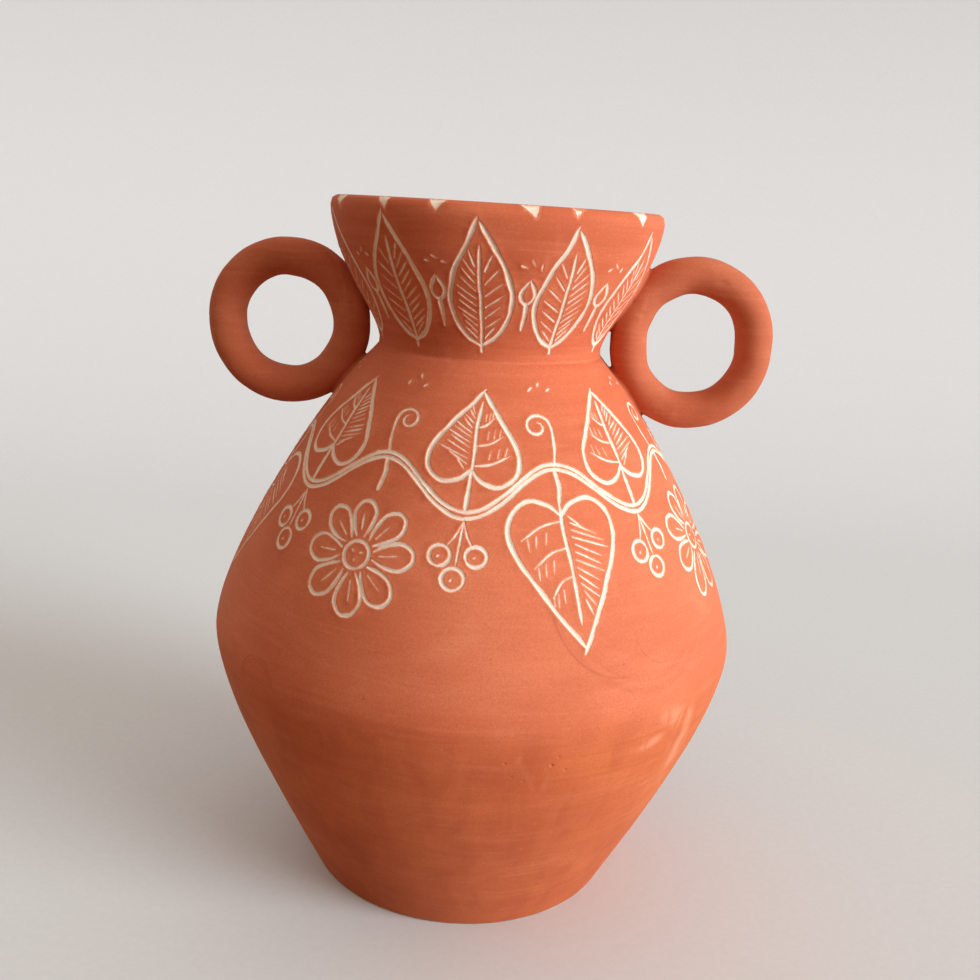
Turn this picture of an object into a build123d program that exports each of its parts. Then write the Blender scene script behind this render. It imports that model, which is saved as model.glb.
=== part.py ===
"""Two-handled clay vase, built as the potter assembles it: two thrown body sections and a thrown neck,
seated on grooved slip joints, with two hand-rolled rings nested in the waist and luted to the wall."""

from build123d import *
import os
from math import hypot

# All lengths are in millimetres. Heights run up from the foot and radii out from the axis.
# Body sections, each with the radius at its upper end
foot_radius = 67.2
bowl_height = 109.0
belly_radius = 110.6
shoulder_height = 118.5
waist_radius = 45.3
neck_height = 57.5
rim_radius = 66.7
rim_band_height = 5.0

# Slopes of the wall, as the gain in radius for each unit of height
foot_slope_share = 0.5
shoulder_slope_share = -1.2
rim_slope_share = 0.1

# How far each end of a section holds its slope, as shares of the section's chord
foot_pull_share = 0.30
under_belly_pull_share = 0.20
over_belly_pull_share = 0.18
under_waist_pull_share = 0.21
over_waist_pull_share = 0.21
under_rim_pull_share = 0.40

# Clay thickness and edges
body_wall = 7.0
neck_wall = 6.0
floor_thickness = 9.0
floor_corner_radius = 14.0
foot_edge_round = 1.2
waist_crease_radius = 5.0
rim_outer_round_share = 0.5
rim_inner_round_share = 0.35

# Slip joints between the sections: a ridge on the upper section sits in a groove in the lower one
joint_slip_thickness = 0.6
belly_groove_depth = 2.6
waist_groove_depth = 2.2
groove_half_width_share = 0.32

# Glaze inside, so that the vase holds water
glaze_thickness = 0.8
glaze_line_below_rim = 9.0

# Left ring: the tube, its centre line, and how far it is pressed into the soft wall
left_tube_radius = 8.1
left_ring_radius = 26.2
left_straight_run = 0.6
left_neck_press = 0.8
left_shoulder_press = 1.8

# Right ring, rolled a little slimmer and more oval, and pressed in deeper
right_tube_radius = 7.8
right_ring_radius = 25.2
right_straight_run = 4.4
right_neck_press = 3.2
right_shoulder_press = 2.3

# Luting clay around each contact
luting_margin = 2.2
luting_height = 2.4

# How far a cutting shape runs past the clay
overrun = 10.0

# Counts for the nesting search
curve_samples = 200
halvings = 30

belly_level = bowl_height
waist_level = belly_level + shoulder_height
rim_level = waist_level + neck_height
band_level = rim_level - rim_band_height


def section_points(lower, lower_slope, upper, upper_slope, lower_pull, upper_pull, inset):
    """Control points of one wall section, moved into the clay by inset along its end normals."""
    ends = []
    for (radius, height), slope in ((lower, lower_slope), (upper, upper_slope)):
        length = hypot(slope, 1)
        ends.append((radius - inset / length, height + inset * slope / length, slope / length, 1 / length))
    (r0, z0, u0, w0), (r3, z3, u3, w3) = ends
    chord = hypot(r3 - r0, z3 - z0)
    first = (r0 + lower_pull * chord * u0, z0 + lower_pull * chord * w0)
    last = (r3 - upper_pull * chord * u3, z3 - upper_pull * chord * w3)
    return [(r0, z0), first, last, (r3, z3)]


def bowl_points(inset, bottom):
    """The bowl's curve, started where its inset line crosses the level of bottom."""
    start = bottom - inset * foot_slope_share / hypot(foot_slope_share, 1)
    foot, belly = (foot_radius + foot_slope_share * start, start), (belly_radius, belly_level)
    return section_points(foot, foot_slope_share, belly, 0, foot_pull_share, under_belly_pull_share, inset)


def shoulder_points(inset):
    belly, waist = (belly_radius, belly_level), (waist_radius, waist_level)
    return section_points(
        belly, 0, waist, shoulder_slope_share, over_belly_pull_share, under_waist_pull_share, inset
    )


def neck_points(inset):
    waist, band = (waist_radius, waist_level), (rim_radius, band_level)
    return section_points(waist, 0, band, rim_slope_share, over_waist_pull_share, under_rim_pull_share, inset)


def on_plane(point):
    """A radius and a height as a point of the XZ plane."""
    radius, height = point
    return Vector(radius, 0, height)


def turned(outline):
    """The solid that a closed outline makes when it is turned about the axis."""
    return revolve(make_face(outline), Axis.Z)


def turned_wall(body_inset, neck_inset, bottom, top):
    """Solid inside the wall line that lies body_inset and neck_inset within the outer surface."""
    bowl, shoulder = bowl_points(body_inset, bottom), shoulder_points(body_inset)
    neck = neck_points(neck_inset)
    outline = [Bezier(*[on_plane(p) for p in curve]) for curve in (bowl, shoulder, neck)]
    if neck_inset > 0:
        outline.append(Line(on_plane(shoulder[-1]), on_plane(neck[0])))
    closing = [neck[-1], (neck[-1][0], top), (0, top), (0, bottom), bowl[0]]
    return turned(outline + [Polyline(*[on_plane(p) for p in closing])])


def gap_between(one, other):
    """Run and rise from one point of the profile to another."""
    return other[0] - one[0], other[1] - one[1]


def circle_at(solid, level, radius):
    """The circular edge of a turned solid that lies nearest to a level and a radius."""
    circles = solid.edges().filter_by(GeomType.CIRCLE)
    return min(circles, key=lambda e: hypot(e.arc_center.Z - level, e.radius - radius))


def outer_body():
    """The whole vase without its handles, solid inside."""
    body = turned_wall(0, 0, 0, rim_level)
    body = fillet(circle_at(body, waist_level, waist_radius), waist_crease_radius)
    return fillet(circle_at(body, 0, foot_radius), foot_edge_round)


def inner_space(layer):
    """The hollow inside the clay, or inside the glaze when layer is the glaze's thickness."""
    space = turned_wall(body_wall + layer, neck_wall + layer, floor_thickness + layer, rim_level + overrun)
    floor_radius = bowl_points(body_wall + layer, floor_thickness + layer)[0][0]
    return fillet(circle_at(space, floor_thickness + layer, floor_radius), floor_corner_radius - layer)


def clay_wall(body, space):
    """The hollow clay wall with its floor and its rounded rim."""
    wall = body - space
    inner_rim_radius = neck_points(neck_wall)[-1][0]
    wall = fillet(circle_at(wall, rim_level, rim_radius), rim_outer_round_share * neck_wall)
    return fillet(circle_at(wall, rim_level, inner_rim_radius), rim_inner_round_share * neck_wall)


def joint_line(level, radius, wall, groove_depth):
    """The line of a slip joint across the wall, with its V groove at mid wall."""
    middle = radius - wall / 2
    half = groove_half_width_share * wall
    return [
        (0, level),
        (middle - half, level),
        (middle, level - groove_depth),
        (middle + half, level),
        (belly_radius + overrun, level),
    ]


def below(line):
    """All that lies under a joint line."""
    low = -overrun
    corners = [(0, low)] + line + [(line[-1][0], low), (0, low)]
    return turned([Polyline(*[on_plane(p) for p in corners])])


def raised(line):
    """The same joint line, one slip thickness higher."""
    return [(radius, height + joint_slip_thickness) for radius, height in line]


def curve_at(points, share):
    """Point of a section's curve at a share of its run."""
    rest = 1 - share
    weights = (rest**3, 3 * rest**2 * share, 3 * rest * share**2, share**3)
    return tuple(sum(w * p[axis] for w, p in zip(weights, points)) for axis in (0, 1))


def sampled(points):
    return [curve_at(points, step / curve_samples) for step in range(curve_samples + 1)]


def tube_distance(point, centre, ring_radius, straight_run):
    """Distance in the ring's plane from a point to the centre line of its tube."""
    run, rise = gap_between(centre, point)
    past_straight = max(abs(rise) - straight_run / 2, 0)
    return abs(hypot(run, past_straight) - ring_radius)


def closest(line, centre, ring_radius, straight_run):
    """Least distance from a wall line to the tube's centre line, and where on the wall it is."""
    return min((tube_distance(point, centre, ring_radius, straight_run), point) for point in line)


def halved(low, high, is_high):
    """The value between low and high at which is_high turns true."""
    for _ in range(halvings):
        middle = (low + high) / 2
        if is_high(middle):
            high = middle
        else:
            low = middle
    return high


def nested_centre(tube_radius, ring_radius, straight_run, neck_press, shoulder_press):
    """Centre of a ring pushed into the waist until it presses into the neck and the shoulder."""
    neck_line, shoulder_line = sampled(neck_points(0)), sampled(shoulder_points(0))
    reach = ring_radius + tube_radius + straight_run

    def pushed_in(z):
        """Distance from the axis at which a ring at this level presses enough into the shoulder."""
        return halved(
            waist_radius,
            belly_radius + reach,
            lambda x: x > waist_radius + ring_radius
            and closest(shoulder_line, (x, z), ring_radius, straight_run)[0] > tube_radius - shoulder_press,
        )

    def past_neck(z):
        """Whether a ring at this level presses more than enough into the neck."""
        found = closest(neck_line, (pushed_in(z), z), ring_radius, straight_run)[0]
        return found < tube_radius - neck_press

    z = halved(waist_level - reach, waist_level + reach, past_neck)
    return pushed_in(z), z


def ring_tube(centre, tube_radius, ring_radius, straight_run):
    """A closed ring of round section in the XZ plane."""
    x, z = centre
    ring = None
    for sign in (1, -1):
        level = z + sign * straight_run / 2
        section = Pos(x + ring_radius, 0, level) * Circle(tube_radius)
        turn = revolve(section, Axis((x, 0, level), (0, -sign, 0)), 180)
        run = Pos(x + sign * ring_radius, 0, z) * Cylinder(tube_radius, straight_run)
        ring = turn + run if ring is None else ring + turn + run
    return ring


def luting(wall_points, centre, tube_radius, ring_radius, straight_run, press):
    """Soft clay worked round the place where a ring meets one section of the wall."""
    line = sampled(wall_points)
    touching = [p for p in line if tube_distance(p, centre, ring_radius, straight_run) < tube_radius]
    run, rise = gap_between(touching[0], touching[-1])
    middle = closest(line, centre, ring_radius, straight_run)[1]
    along = hypot(run, rise) / 2 + luting_margin
    across = (tube_radius**2 - (tube_radius - press) ** 2) ** 0.5 + luting_margin
    plane = Plane(origin=on_plane(middle), x_dir=(run, 0, rise), z_dir=(rise, 0, -run))
    return plane * scale(Sphere(1), by=(along, across, luting_height))


def handle_pieces(side, body, tube_radius, ring_radius, straight_run, neck_press, shoulder_press):
    """One ring and its two luting pieces. side is 1 for the +X handle and -1 for the other."""
    centre = nested_centre(tube_radius, ring_radius, straight_run, neck_press, shoulder_press)
    ring = (centre, tube_radius, ring_radius, straight_run)
    tube = ring_tube(*ring)
    upper = luting(neck_points(0), *ring, neck_press)
    lower = luting(shoulder_points(0), *ring, shoulder_press)
    pieces = [tube - body, upper - tube - body, lower - tube - body]
    print("ring centre", [round(value, 2) for value in centre])
    return [Rot(0, 0, 180) * piece for piece in pieces] if side < 0 else pieces


os.makedirs("parts", exist_ok=True)
body = outer_body()
space = inner_space(0)
wall = clay_wall(body, space)

belly_line = joint_line(belly_level, belly_radius, body_wall, belly_groove_depth)
waist_line = joint_line(waist_level, waist_radius, neck_wall, waist_groove_depth)
to_belly, past_belly = below(belly_line), below(raised(belly_line))
to_waist, past_waist = below(waist_line), below(raised(waist_line))

glaze_top = below([(0, rim_level - glaze_line_below_rim), (belly_radius, rim_level - glaze_line_below_rim)])
left = handle_pieces(
    -1, body, left_tube_radius, left_ring_radius, left_straight_run, left_neck_press, left_shoulder_press
)
right = handle_pieces(
    1, body, right_tube_radius, right_ring_radius, right_straight_run, right_neck_press, right_shoulder_press
)

nodes = {
    "lower_bowl": wall & to_belly,
    "belly_joint_slip": wall & (past_belly - to_belly),
    "upper_shoulder": wall & (to_waist - past_belly),
    "waist_joint_slip": wall & (past_waist - to_waist),
    "neck_collar": wall - past_waist,
    "glaze_liner": (space - inner_space(glaze_thickness)) & glaze_top,
    "left_ring_handle": left[0],
    "left_upper_luting": left[1],
    "left_lower_luting": left[2],
    "right_ring_handle": right[0],
    "right_upper_luting": right[1],
    "right_lower_luting": right[2],
}
for name, solid in nodes.items():
    export_step(solid, f"parts/{name}.step")
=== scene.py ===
"""Two-handled clay vase: thrown sections on slip joints, ring handles luted into the waist, a slip coat outside,
and an ornament of ivy, rosettes and upright leaves carved through the coat to the pale clay."""

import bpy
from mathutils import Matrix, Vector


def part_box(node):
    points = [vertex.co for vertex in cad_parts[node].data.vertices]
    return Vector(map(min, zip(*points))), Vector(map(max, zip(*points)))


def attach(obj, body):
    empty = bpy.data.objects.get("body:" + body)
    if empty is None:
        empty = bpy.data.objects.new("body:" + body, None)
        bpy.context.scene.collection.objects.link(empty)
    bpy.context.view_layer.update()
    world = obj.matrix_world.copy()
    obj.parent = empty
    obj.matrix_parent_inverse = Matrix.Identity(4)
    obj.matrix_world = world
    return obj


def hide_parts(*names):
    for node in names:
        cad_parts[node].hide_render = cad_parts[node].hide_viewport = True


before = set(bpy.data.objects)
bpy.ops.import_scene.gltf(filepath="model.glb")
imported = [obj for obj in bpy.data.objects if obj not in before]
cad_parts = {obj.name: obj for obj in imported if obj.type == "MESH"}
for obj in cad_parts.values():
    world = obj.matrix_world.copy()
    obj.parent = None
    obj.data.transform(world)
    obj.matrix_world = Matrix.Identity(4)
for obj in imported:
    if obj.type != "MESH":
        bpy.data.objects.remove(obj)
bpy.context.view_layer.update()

import random
from math import atan2, cos, degrees, hypot, pi, radians, sin

import bpy
import numpy as np
from bpy.props import FloatProperty, FloatVectorProperty, IntProperty, PointerProperty
from bpy.types import Operator, Panel, PropertyGroup
from mathutils import Matrix, Vector, geometry, kdtree, noise
from mathutils.bvhtree import BVHTree

bl_info = {
    "name": "Carved Clay Vase",
    "version": (1, 0, 0),
    "blender": (4, 5, 0),
    "location": "View3D > Sidebar > Clay Vase",
    "description": "Builds a slip-coated, carved two-handled vase round its packed solids",
    "category": "Object",
}

MM = 0.001

# Counts round the vase, along a section's curve and round its corners
AROUND, CURVE_STEPS, ARC_STEPS = 240, 400, 10
# Longest straight step of a spun section, and how near two vertices are one
SPACING, SAME = 3 * MM, 0.004 * MM
# Radius of the cylinder that the ornament is drawn on before it is wrapped round the vase
ROLL_RADIUS = 100 * MM


def lowest(node):
    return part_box(node)[0]


def highest(node):
    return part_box(node)[1]


def length_value(label, about, default):
    return FloatProperty(name=label, description=about, default=default, unit="LENGTH", precision=5)


def colour_value(label, about, default):
    return FloatVectorProperty(name=label, description=about, default=default, subtype="COLOR_GAMMA", size=3,
                               min=0, max=1)


class VaseShape(PropertyGroup):
    """Sizes of the thrown sections, as the solids have them."""

    foot_radius: length_value("Foot radius", "Radius of the flat foot", 67.2 * MM)
    belly_radius: length_value("Belly radius", "Radius at the widest point", highest("lower_bowl").x)
    belly_level: length_value("Belly level", "Height of the lower joint", highest("lower_bowl").z)
    waist_radius: length_value("Waist radius", "Radius at the waist before the crease is rounded", 45.3 * MM)
    waist_level: length_value("Waist level", "Height of the upper joint", highest("upper_shoulder").z)
    rim_radius: length_value("Rim radius", "Outer radius of the rim", highest("neck_collar").x)
    rim_level: length_value("Rim level", "Height of the rim", highest("neck_collar").z)
    rim_band: length_value("Rim band", "Upright band under the rim", 5 * MM)
    belly_wall: length_value("Body wall", "Thickness of the bowl and the shoulder", 7 * MM)
    waist_wall: length_value("Neck wall", "Thickness of the neck", 6 * MM)
    floor_thickness: length_value("Floor", "Thickness of the floor", 9 * MM)
    floor_corner: length_value("Floor corner", "Inner rounding where the floor meets the wall", 14 * MM)
    foot_edge: length_value("Foot edge", "Rounding of the foot's edge", 1.2 * MM)
    waist_crease: length_value("Waist crease", "Rounding of the crease at the waist", 5 * MM)
    slip_layer: length_value("Joint slip", "Thickness of the slip in each joint", 0.6 * MM)
    belly_groove: length_value("Belly groove", "Depth of the groove in the lower joint", 2.6 * MM)
    waist_groove: length_value("Waist groove", "Depth of the groove in the upper joint", 2.2 * MM)
    glaze: length_value("Glaze", "Thickness of the glaze inside", 0.8 * MM)
    glaze_line: length_value("Glaze line", "How far the glaze stays below the rim", 9 * MM)
    unevenness: length_value("Unevenness", "Deepest hollow that the hands left in the outside", 0.3 * MM)


class HandleShape(PropertyGroup):
    """Sizes of the two rings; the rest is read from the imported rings."""

    left_straight: length_value("Left straight run", "Straight part that makes the left ring oval", 0.6 * MM)
    right_straight: length_value("Right straight run", "Straight part that makes the right ring oval", 4.4 * MM)
    rolling: length_value("Rolling marks", "Deepest hollow that rolling left in a ring", 0.75 * MM)
    luting_reach: length_value("Luting reach", "How far the luting clay spreads from the joint", 2.2 * MM)


class CarvingShape(PropertyGroup):
    """Sizes of the carved lines."""

    line_width: length_value("Line width", "Width of an outline cut", 1.85 * MM)
    fine_width: length_value("Fine width", "Width of a vein or a hatching cut", 1.0 * MM)
    depth_share: FloatProperty(name="Depth", description="Depth of a cut as a share of its width", default=0.2,
                               min=0, max=1)
    burr: length_value("Burr", "Height of the clay pushed up beside a cut", 0.16 * MM)
    waves: IntProperty(name="Waves", description="Waves of the ivy stem round the shoulder", default=7, min=3)
    neck_leaves: IntProperty(name="Neck leaves", description="Upright leaves round the neck", default=11, min=3)
    rim_nicks: IntProperty(name="Rim nicks", description="Knife nicks round the rim", default=16, min=0)


class VaseColours(PropertyGroup):
    """Colours of the clays, the slip and the glaze."""

    coat: colour_value("Slip coat", "Terracotta slip outside", (0.845, 0.462, 0.318))
    coat_low: colour_value("Lower slip coat", "Thinner, more orange slip below the belly", (0.864, 0.476, 0.284))
    coat_deep: colour_value("Thick slip", "Slip where the brush left it thick", (0.735, 0.352, 0.215))
    # This pale also paints the sheen on the upper shoulder and the highlight on the burr beside each cut
    coat_pale: colour_value("Rubbed slip", "Slip that was rubbed or scuffed", (0.93, 0.61, 0.47))
    clay: colour_value("Pale clay", "Clay under the slip", (0.953, 0.902, 0.85))
    clay_shade: colour_value("Stained clay", "Clay that slip has stained", (0.90, 0.68, 0.57))
    glaze: colour_value("Glaze", "Glaze inside the vase", (0.90, 0.86, 0.78))
    backdrop: colour_value("Backdrop", "Floor and backdrop", (0.865, 0.90, 0.925))
    table: colour_value("Table", "Colour of the light that the floor throws back", (0.54, 0.38, 0.24))
    # The handles and their luting get a darker, browner slip coat than the body
    handle: colour_value("Handle coat", "Slip coat on the handles, thicker and browner", (0.77, 0.44, 0.31))


# ---------------------------------------------------------------- lines of the thrown sections: radius and level

def steps_of(line):
    return np.hypot(*np.diff(line, axis=0).T)


def running(steps):
    """Length from the start at each point, from the steps between the points."""
    return np.concatenate([[0], np.cumsum(steps)])


def chain(*parts):
    """Lines and single points as one line."""
    return np.concatenate([np.reshape(part, (-1, 2)) for part in parts])


def without_repeats(line):
    return line[np.concatenate([[True], steps_of(line) > 1e-7])]


def section_curve(lower, lower_slope, upper, upper_slope, pulls, inset):
    """One wall section as a Bezier curve, moved into the clay by inset, as the solids have it."""
    ends = []
    for (radius, level), slope in ((lower, lower_slope), (upper, upper_slope)):
        length = hypot(slope, 1)
        point = np.array([radius - inset / length, level + inset * slope / length])
        ends.append((point, np.array([slope / length, 1 / length])))
    (a, lower_way), (d, upper_way) = ends
    chord = hypot(*(d - a))
    b, c = a + pulls[0] * chord * lower_way, d - pulls[1] * chord * upper_way
    t = np.linspace(0, 1, CURVE_STEPS + 1)[:, None]
    return (1 - t) ** 3 * a + 3 * (1 - t) ** 2 * t * b + 3 * (1 - t) * t**2 * c + t**3 * d


FOOT_SLOPE, SHOULDER_SLOPE, RIM_SLOPE = 0.5, -1.2, 0.1
BOWL_PULLS, SHOULDER_PULLS, NECK_PULLS = (0.30, 0.20), (0.18, 0.21), (0.21, 0.40)


def bowl_line(shape, inset, bottom):
    start = bottom - inset * FOOT_SLOPE / hypot(FOOT_SLOPE, 1)
    foot = (shape.foot_radius + FOOT_SLOPE * start, start)
    return section_curve(foot, FOOT_SLOPE, (shape.belly_radius, shape.belly_level), 0, BOWL_PULLS, inset)


def shoulder_line(shape, inset):
    belly, waist = (shape.belly_radius, shape.belly_level), (shape.waist_radius, shape.waist_level)
    return section_curve(belly, 0, waist, SHOULDER_SLOPE, SHOULDER_PULLS, inset)


def neck_line(shape, inset):
    waist, band = (shape.waist_radius, shape.waist_level), (shape.rim_radius, shape.rim_level - shape.rim_band)
    return section_curve(waist, 0, band, RIM_SLOPE, NECK_PULLS, inset)


def nearest_on(line, point):
    """Nearest point of a line to a point, its distance, and the index of the piece of line that holds it."""
    a, ab = line[:-1], np.diff(line, axis=0)
    share = np.clip(((point - a) * ab).sum(1) / np.maximum((ab * ab).sum(1), 1e-18), 0, 1)
    found = a + share[:, None] * ab
    away = np.hypot(*(found - point).T)
    i = int(away.argmin())
    return found[i], away[i], i


def rounded(first, second, radius, side):
    """Two lines that meet, with an arc at their corner. side is 1 where the arc's centre is outside the clay."""
    first, steps = without_repeats(first), steps_of(without_repeats(first))
    run = running(steps)

    def centre_at(back):
        place = max(run[-1] - back, 0)
        i = min(int(np.searchsorted(run, place, side="right")) - 1, len(steps) - 1)
        direction = (first[i + 1] - first[i]) / steps[i]
        point = first[i] + direction * (place - run[i])
        return point, point + side * radius * np.array([direction[1], -direction[0]]), i

    low, high = 0.0, min(run[-1], 4 * radius)
    for _ in range(40):
        middle = (low + high) / 2
        if nearest_on(second, centre_at(middle)[1])[1] < radius:
            low = middle
        else:
            high = middle
    start, centre, i = centre_at(high)
    end, _, j = nearest_on(second, centre)
    from_angle, to_angle = (atan2(*(p - centre)[::-1]) for p in (start, end))
    turn = (to_angle - from_angle + pi) % (2 * pi) - pi
    angles = from_angle + turn * np.linspace(0, 1, ARC_STEPS + 1)
    arc = centre + radius * np.stack([np.cos(angles), np.sin(angles)], 1)
    return np.concatenate([first[: i + 1], arc, second[j + 1:]])


def outer_line(shape):
    """Outside of the vase from the underside of the foot to the top of the rim."""
    floor = chain((0.8 * shape.foot_radius, 0), (shape.foot_radius, 0))
    line = rounded(floor, bowl_line(shape, 0, 0), shape.foot_edge, -1)[1:]
    line = rounded(chain(line, shoulder_line(shape, 0)), neck_line(shape, 0), shape.waist_crease, 1)
    corner = (shape.rim_radius, shape.rim_level)
    top = chain(corner, (0.9 * shape.rim_radius, shape.rim_level))
    return without_repeats(rounded(chain(line, corner), top, 0.5 * shape.waist_wall, -1)[:-1])


def inner_line(shape, layer):
    """Inside of the clay, or of the glaze when layer is its thickness, from the middle of the floor up."""
    floor_level = shape.floor_thickness + layer
    bowl = bowl_line(shape, shape.belly_wall + layer, floor_level)
    line = rounded(chain((0, floor_level), bowl[0]), bowl, shape.floor_corner - layer, -1)
    return without_repeats(chain(line, shoulder_line(shape, shape.belly_wall + layer),
                                 neck_line(shape, shape.waist_wall + layer)))


def joint_line(shape, joint, lift):
    """The groove of a slip joint across the wall, from the outside in, lifted by the slip's thickness or not."""
    sizes = ("radius", "wall", "level", "groove")
    radius, wall, level, groove = (getattr(shape, f"{joint}_{size}") for size in sizes)
    middle, half = radius - wall / 2, 0.32 * wall
    return np.array([(middle + half, level), (middle, level - groove), (middle - half, level)]) + (0, lift)


def thinned(line, spacing):
    """A line's points, no closer than spacing where it runs nearly straight."""
    kept = [line[0]]
    for i in range(1, len(line) - 1):
        a, b = line[i] - kept[-1], line[i + 1] - line[i]
        bend = abs(a[0] * b[1] - a[1] * b[0]) / (hypot(*a) * hypot(*b))
        if hypot(*a) >= spacing or (bend > 0.06 and hypot(*a) > 0.2 * MM):
            kept.append(line[i])
    return np.array(kept + [line[-1]])


def point_at(line, level):
    return np.interp(level, line[:, 1], line[:, 0]), level


def between(line, low, high, spacing=SPACING):
    """A line's points from one level to another, for a section that is spun."""
    inside = line[(line[:, 1] > low + 1e-6) & (line[:, 1] < high - 1e-6)]
    return thinned(chain(point_at(line, low), inside, point_at(line, high)), spacing)


class Wall:
    """The outside as one line, with its normals and its height on the roll that ornament is drawn on."""

    # Waves of the hand-made outside: strength, turns round the vase, radians for each metre of height, start
    WAVES = ((1.0, 2, 55, 0.6), (0.8, 3, -90, 2.1), (0.5, 5, 140, 0.0))
    # Distance over which the unevenness fades in from a joint or an end
    FADE = 14 * MM

    def __init__(self, shape):
        self.shape, self.line = shape, outer_line(shape)
        steps = steps_of(self.line)
        self.rise = running(ROLL_RADIUS * steps / ((self.line[1:, 0] + self.line[:-1, 0]) / 2))
        slope = np.gradient(self.line, running(steps), axis=0)
        slope /= np.hypot(*slope.T)[:, None]
        self.normal = np.stack([slope[:, 1], -slope[:, 0]], 1)

    def rise_at(self, level):
        return np.interp(level, self.line[:, 1], self.rise)

    def read(self, values, rise):
        """Both columns of a list that runs along the outside, at a height on the roll."""
        return (np.interp(rise, self.rise, values[:, axis]) for axis in (0, 1))

    def radius_at(self, rise):
        return next(self.read(self.line, rise))

    def hollow(self, angle, level):
        """How far the hands left the outside inside its true form. It is nothing at the joints and the ends."""
        shape, fade = self.shape, 1.0
        for fixed in (0, shape.belly_level, shape.waist_level, shape.rim_level):
            near = np.clip(np.abs(level - fixed) / self.FADE, 0, 1)
            fade = fade * near * near * (3 - 2 * near)
        waves = sum(a * np.sin(turns * angle + pitch * level + start) for a, turns, pitch, start in self.WAVES)
        waves = waves + 0.5 * np.sin(310 * level + 1.1 * np.sin(angle))
        return -shape.unevenness * fade * (0.5 + 0.5 * waves / 2.8)

    def surface(self, angle, rise, lift=0.0):
        """Points of the outside at an angle from the front and a height on the roll, lifted along the normal."""
        radius, level = self.read(self.line, rise)
        out, up = self.read(self.normal, rise)
        lift = lift + self.hollow(angle, level)
        radius = radius + lift * out
        return np.stack([radius * np.sin(angle), -radius * np.cos(angle), level + lift * up], -1)


# ---------------------------------------------------------------- modelling steps that several pieces use

def choose(*pieces):
    """Select these pieces alone. The last one is active."""
    if bpy.context.mode != "OBJECT":
        bpy.ops.object.mode_set(mode="OBJECT")
    bpy.ops.object.select_all(action="DESELECT")
    for piece in pieces:
        piece.select_set(True)
        bpy.context.view_layer.objects.active = piece


def edit(piece):
    choose(piece)
    bpy.ops.object.mode_set(mode="EDIT")
    bpy.ops.mesh.select_all(action="SELECT")


def edit_chosen(piece, kind, chosen):
    """Edit mode with only the chosen vertices, edges or faces selected."""
    edit(piece)
    bpy.ops.mesh.select_all(action="DESELECT")
    leave_edit()
    elements = {"VERT": piece.data.vertices, "EDGE": piece.data.edges, "FACE": piece.data.polygons}
    elements[kind].foreach_set("select", chosen)
    bpy.ops.object.mode_set(mode="EDIT")
    bpy.ops.mesh.select_mode(type=kind)


def leave_edit():
    bpy.ops.mesh.select_mode(type="VERT")
    bpy.ops.object.mode_set(mode="OBJECT")


def closed(piece, merge=SAME):
    """The piece with its doubles merged and its faces turned outwards."""
    edit(piece)
    bpy.ops.mesh.remove_doubles(threshold=merge)
    bpy.ops.mesh.normals_make_consistent(inside=False)
    leave_edit()
    return piece


def named(name):
    piece = bpy.context.active_object
    piece.name = piece.data.name = name
    return piece


def linked(name, mesh):
    piece = bpy.data.objects.new(name, mesh)
    bpy.context.scene.collection.objects.link(piece)
    return piece


def spun(name, *parts):
    """A section line drawn point by point and turned round the axis, closed at its seam and at its poles."""
    points = chain(*parts)
    choose()
    bpy.ops.mesh.primitive_plane_add(size=MM, location=(0, *points[0]))
    piece = named(name)
    edit(piece)
    bpy.ops.mesh.merge(type="CENTER")
    for radial, upward in np.diff(points, axis=0):
        bpy.ops.mesh.extrude_vertices_move(TRANSFORM_OT_translate={"value": (0, radial, upward)})
    leave_edit()
    bpy.ops.object.transform_apply(location=True, rotation=True, scale=True)
    edit(piece)
    bpy.ops.mesh.spin(steps=AROUND, angle=2 * pi, center=(0, 0, 0), axis=(0, 0, 1))
    leave_edit()
    return closed(piece)


def coordinates(piece):
    found = np.empty(len(piece.data.vertices) * 3)
    piece.data.vertices.foreach_get("co", found)
    return found.reshape(-1, 3)


def put_coordinates(piece, points):
    piece.data.vertices.foreach_set("co", points.ravel())
    piece.data.update()


def smooth(piece, angle):
    choose(piece)
    bpy.ops.object.shade_smooth_by_angle(angle=radians(angle))


def finish_piece(piece, node, material, angle):
    """Shading, material and the body that a piece belongs to; the solid that it replaces is hidden."""
    smooth(piece, angle)
    piece.data.materials.clear()
    piece.data.materials.append(material)
    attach(piece, "root")
    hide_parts(node)


# ---------------------------------------------------------------- carving

BURR_PEAK, BURR_FOOT = 0.28 * MM, 0.75 * MM
STROKE_STEP, SAMPLE_STEP = 1.5 * MM, 0.4 * MM
# How far a stroke tapers, its least half width, and the half width above which it has lines of vertices inside
TAPER_REACH, LEAST_HALF, WIDE_HALF = 4 * MM, 0.16 * MM, 0.42 * MM
# Spacing of the skin's plain vertices, its share from row to row, and the bare margin at borders and beside cuts
GRID, ROW_SHARE, MARGIN = 3 * MM, 0.87, 0.6 * MM


def ways_along(line):
    """Unit directions of a line at its points, and unit normals to its left."""
    way = np.gradient(line, axis=0)
    way /= np.hypot(*way.T)[:, None]
    return way, np.stack([-way[:, 1], way[:, 0]], 1)


def noise_at(points):
    return np.array([noise.noise(point) for point in points])


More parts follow.
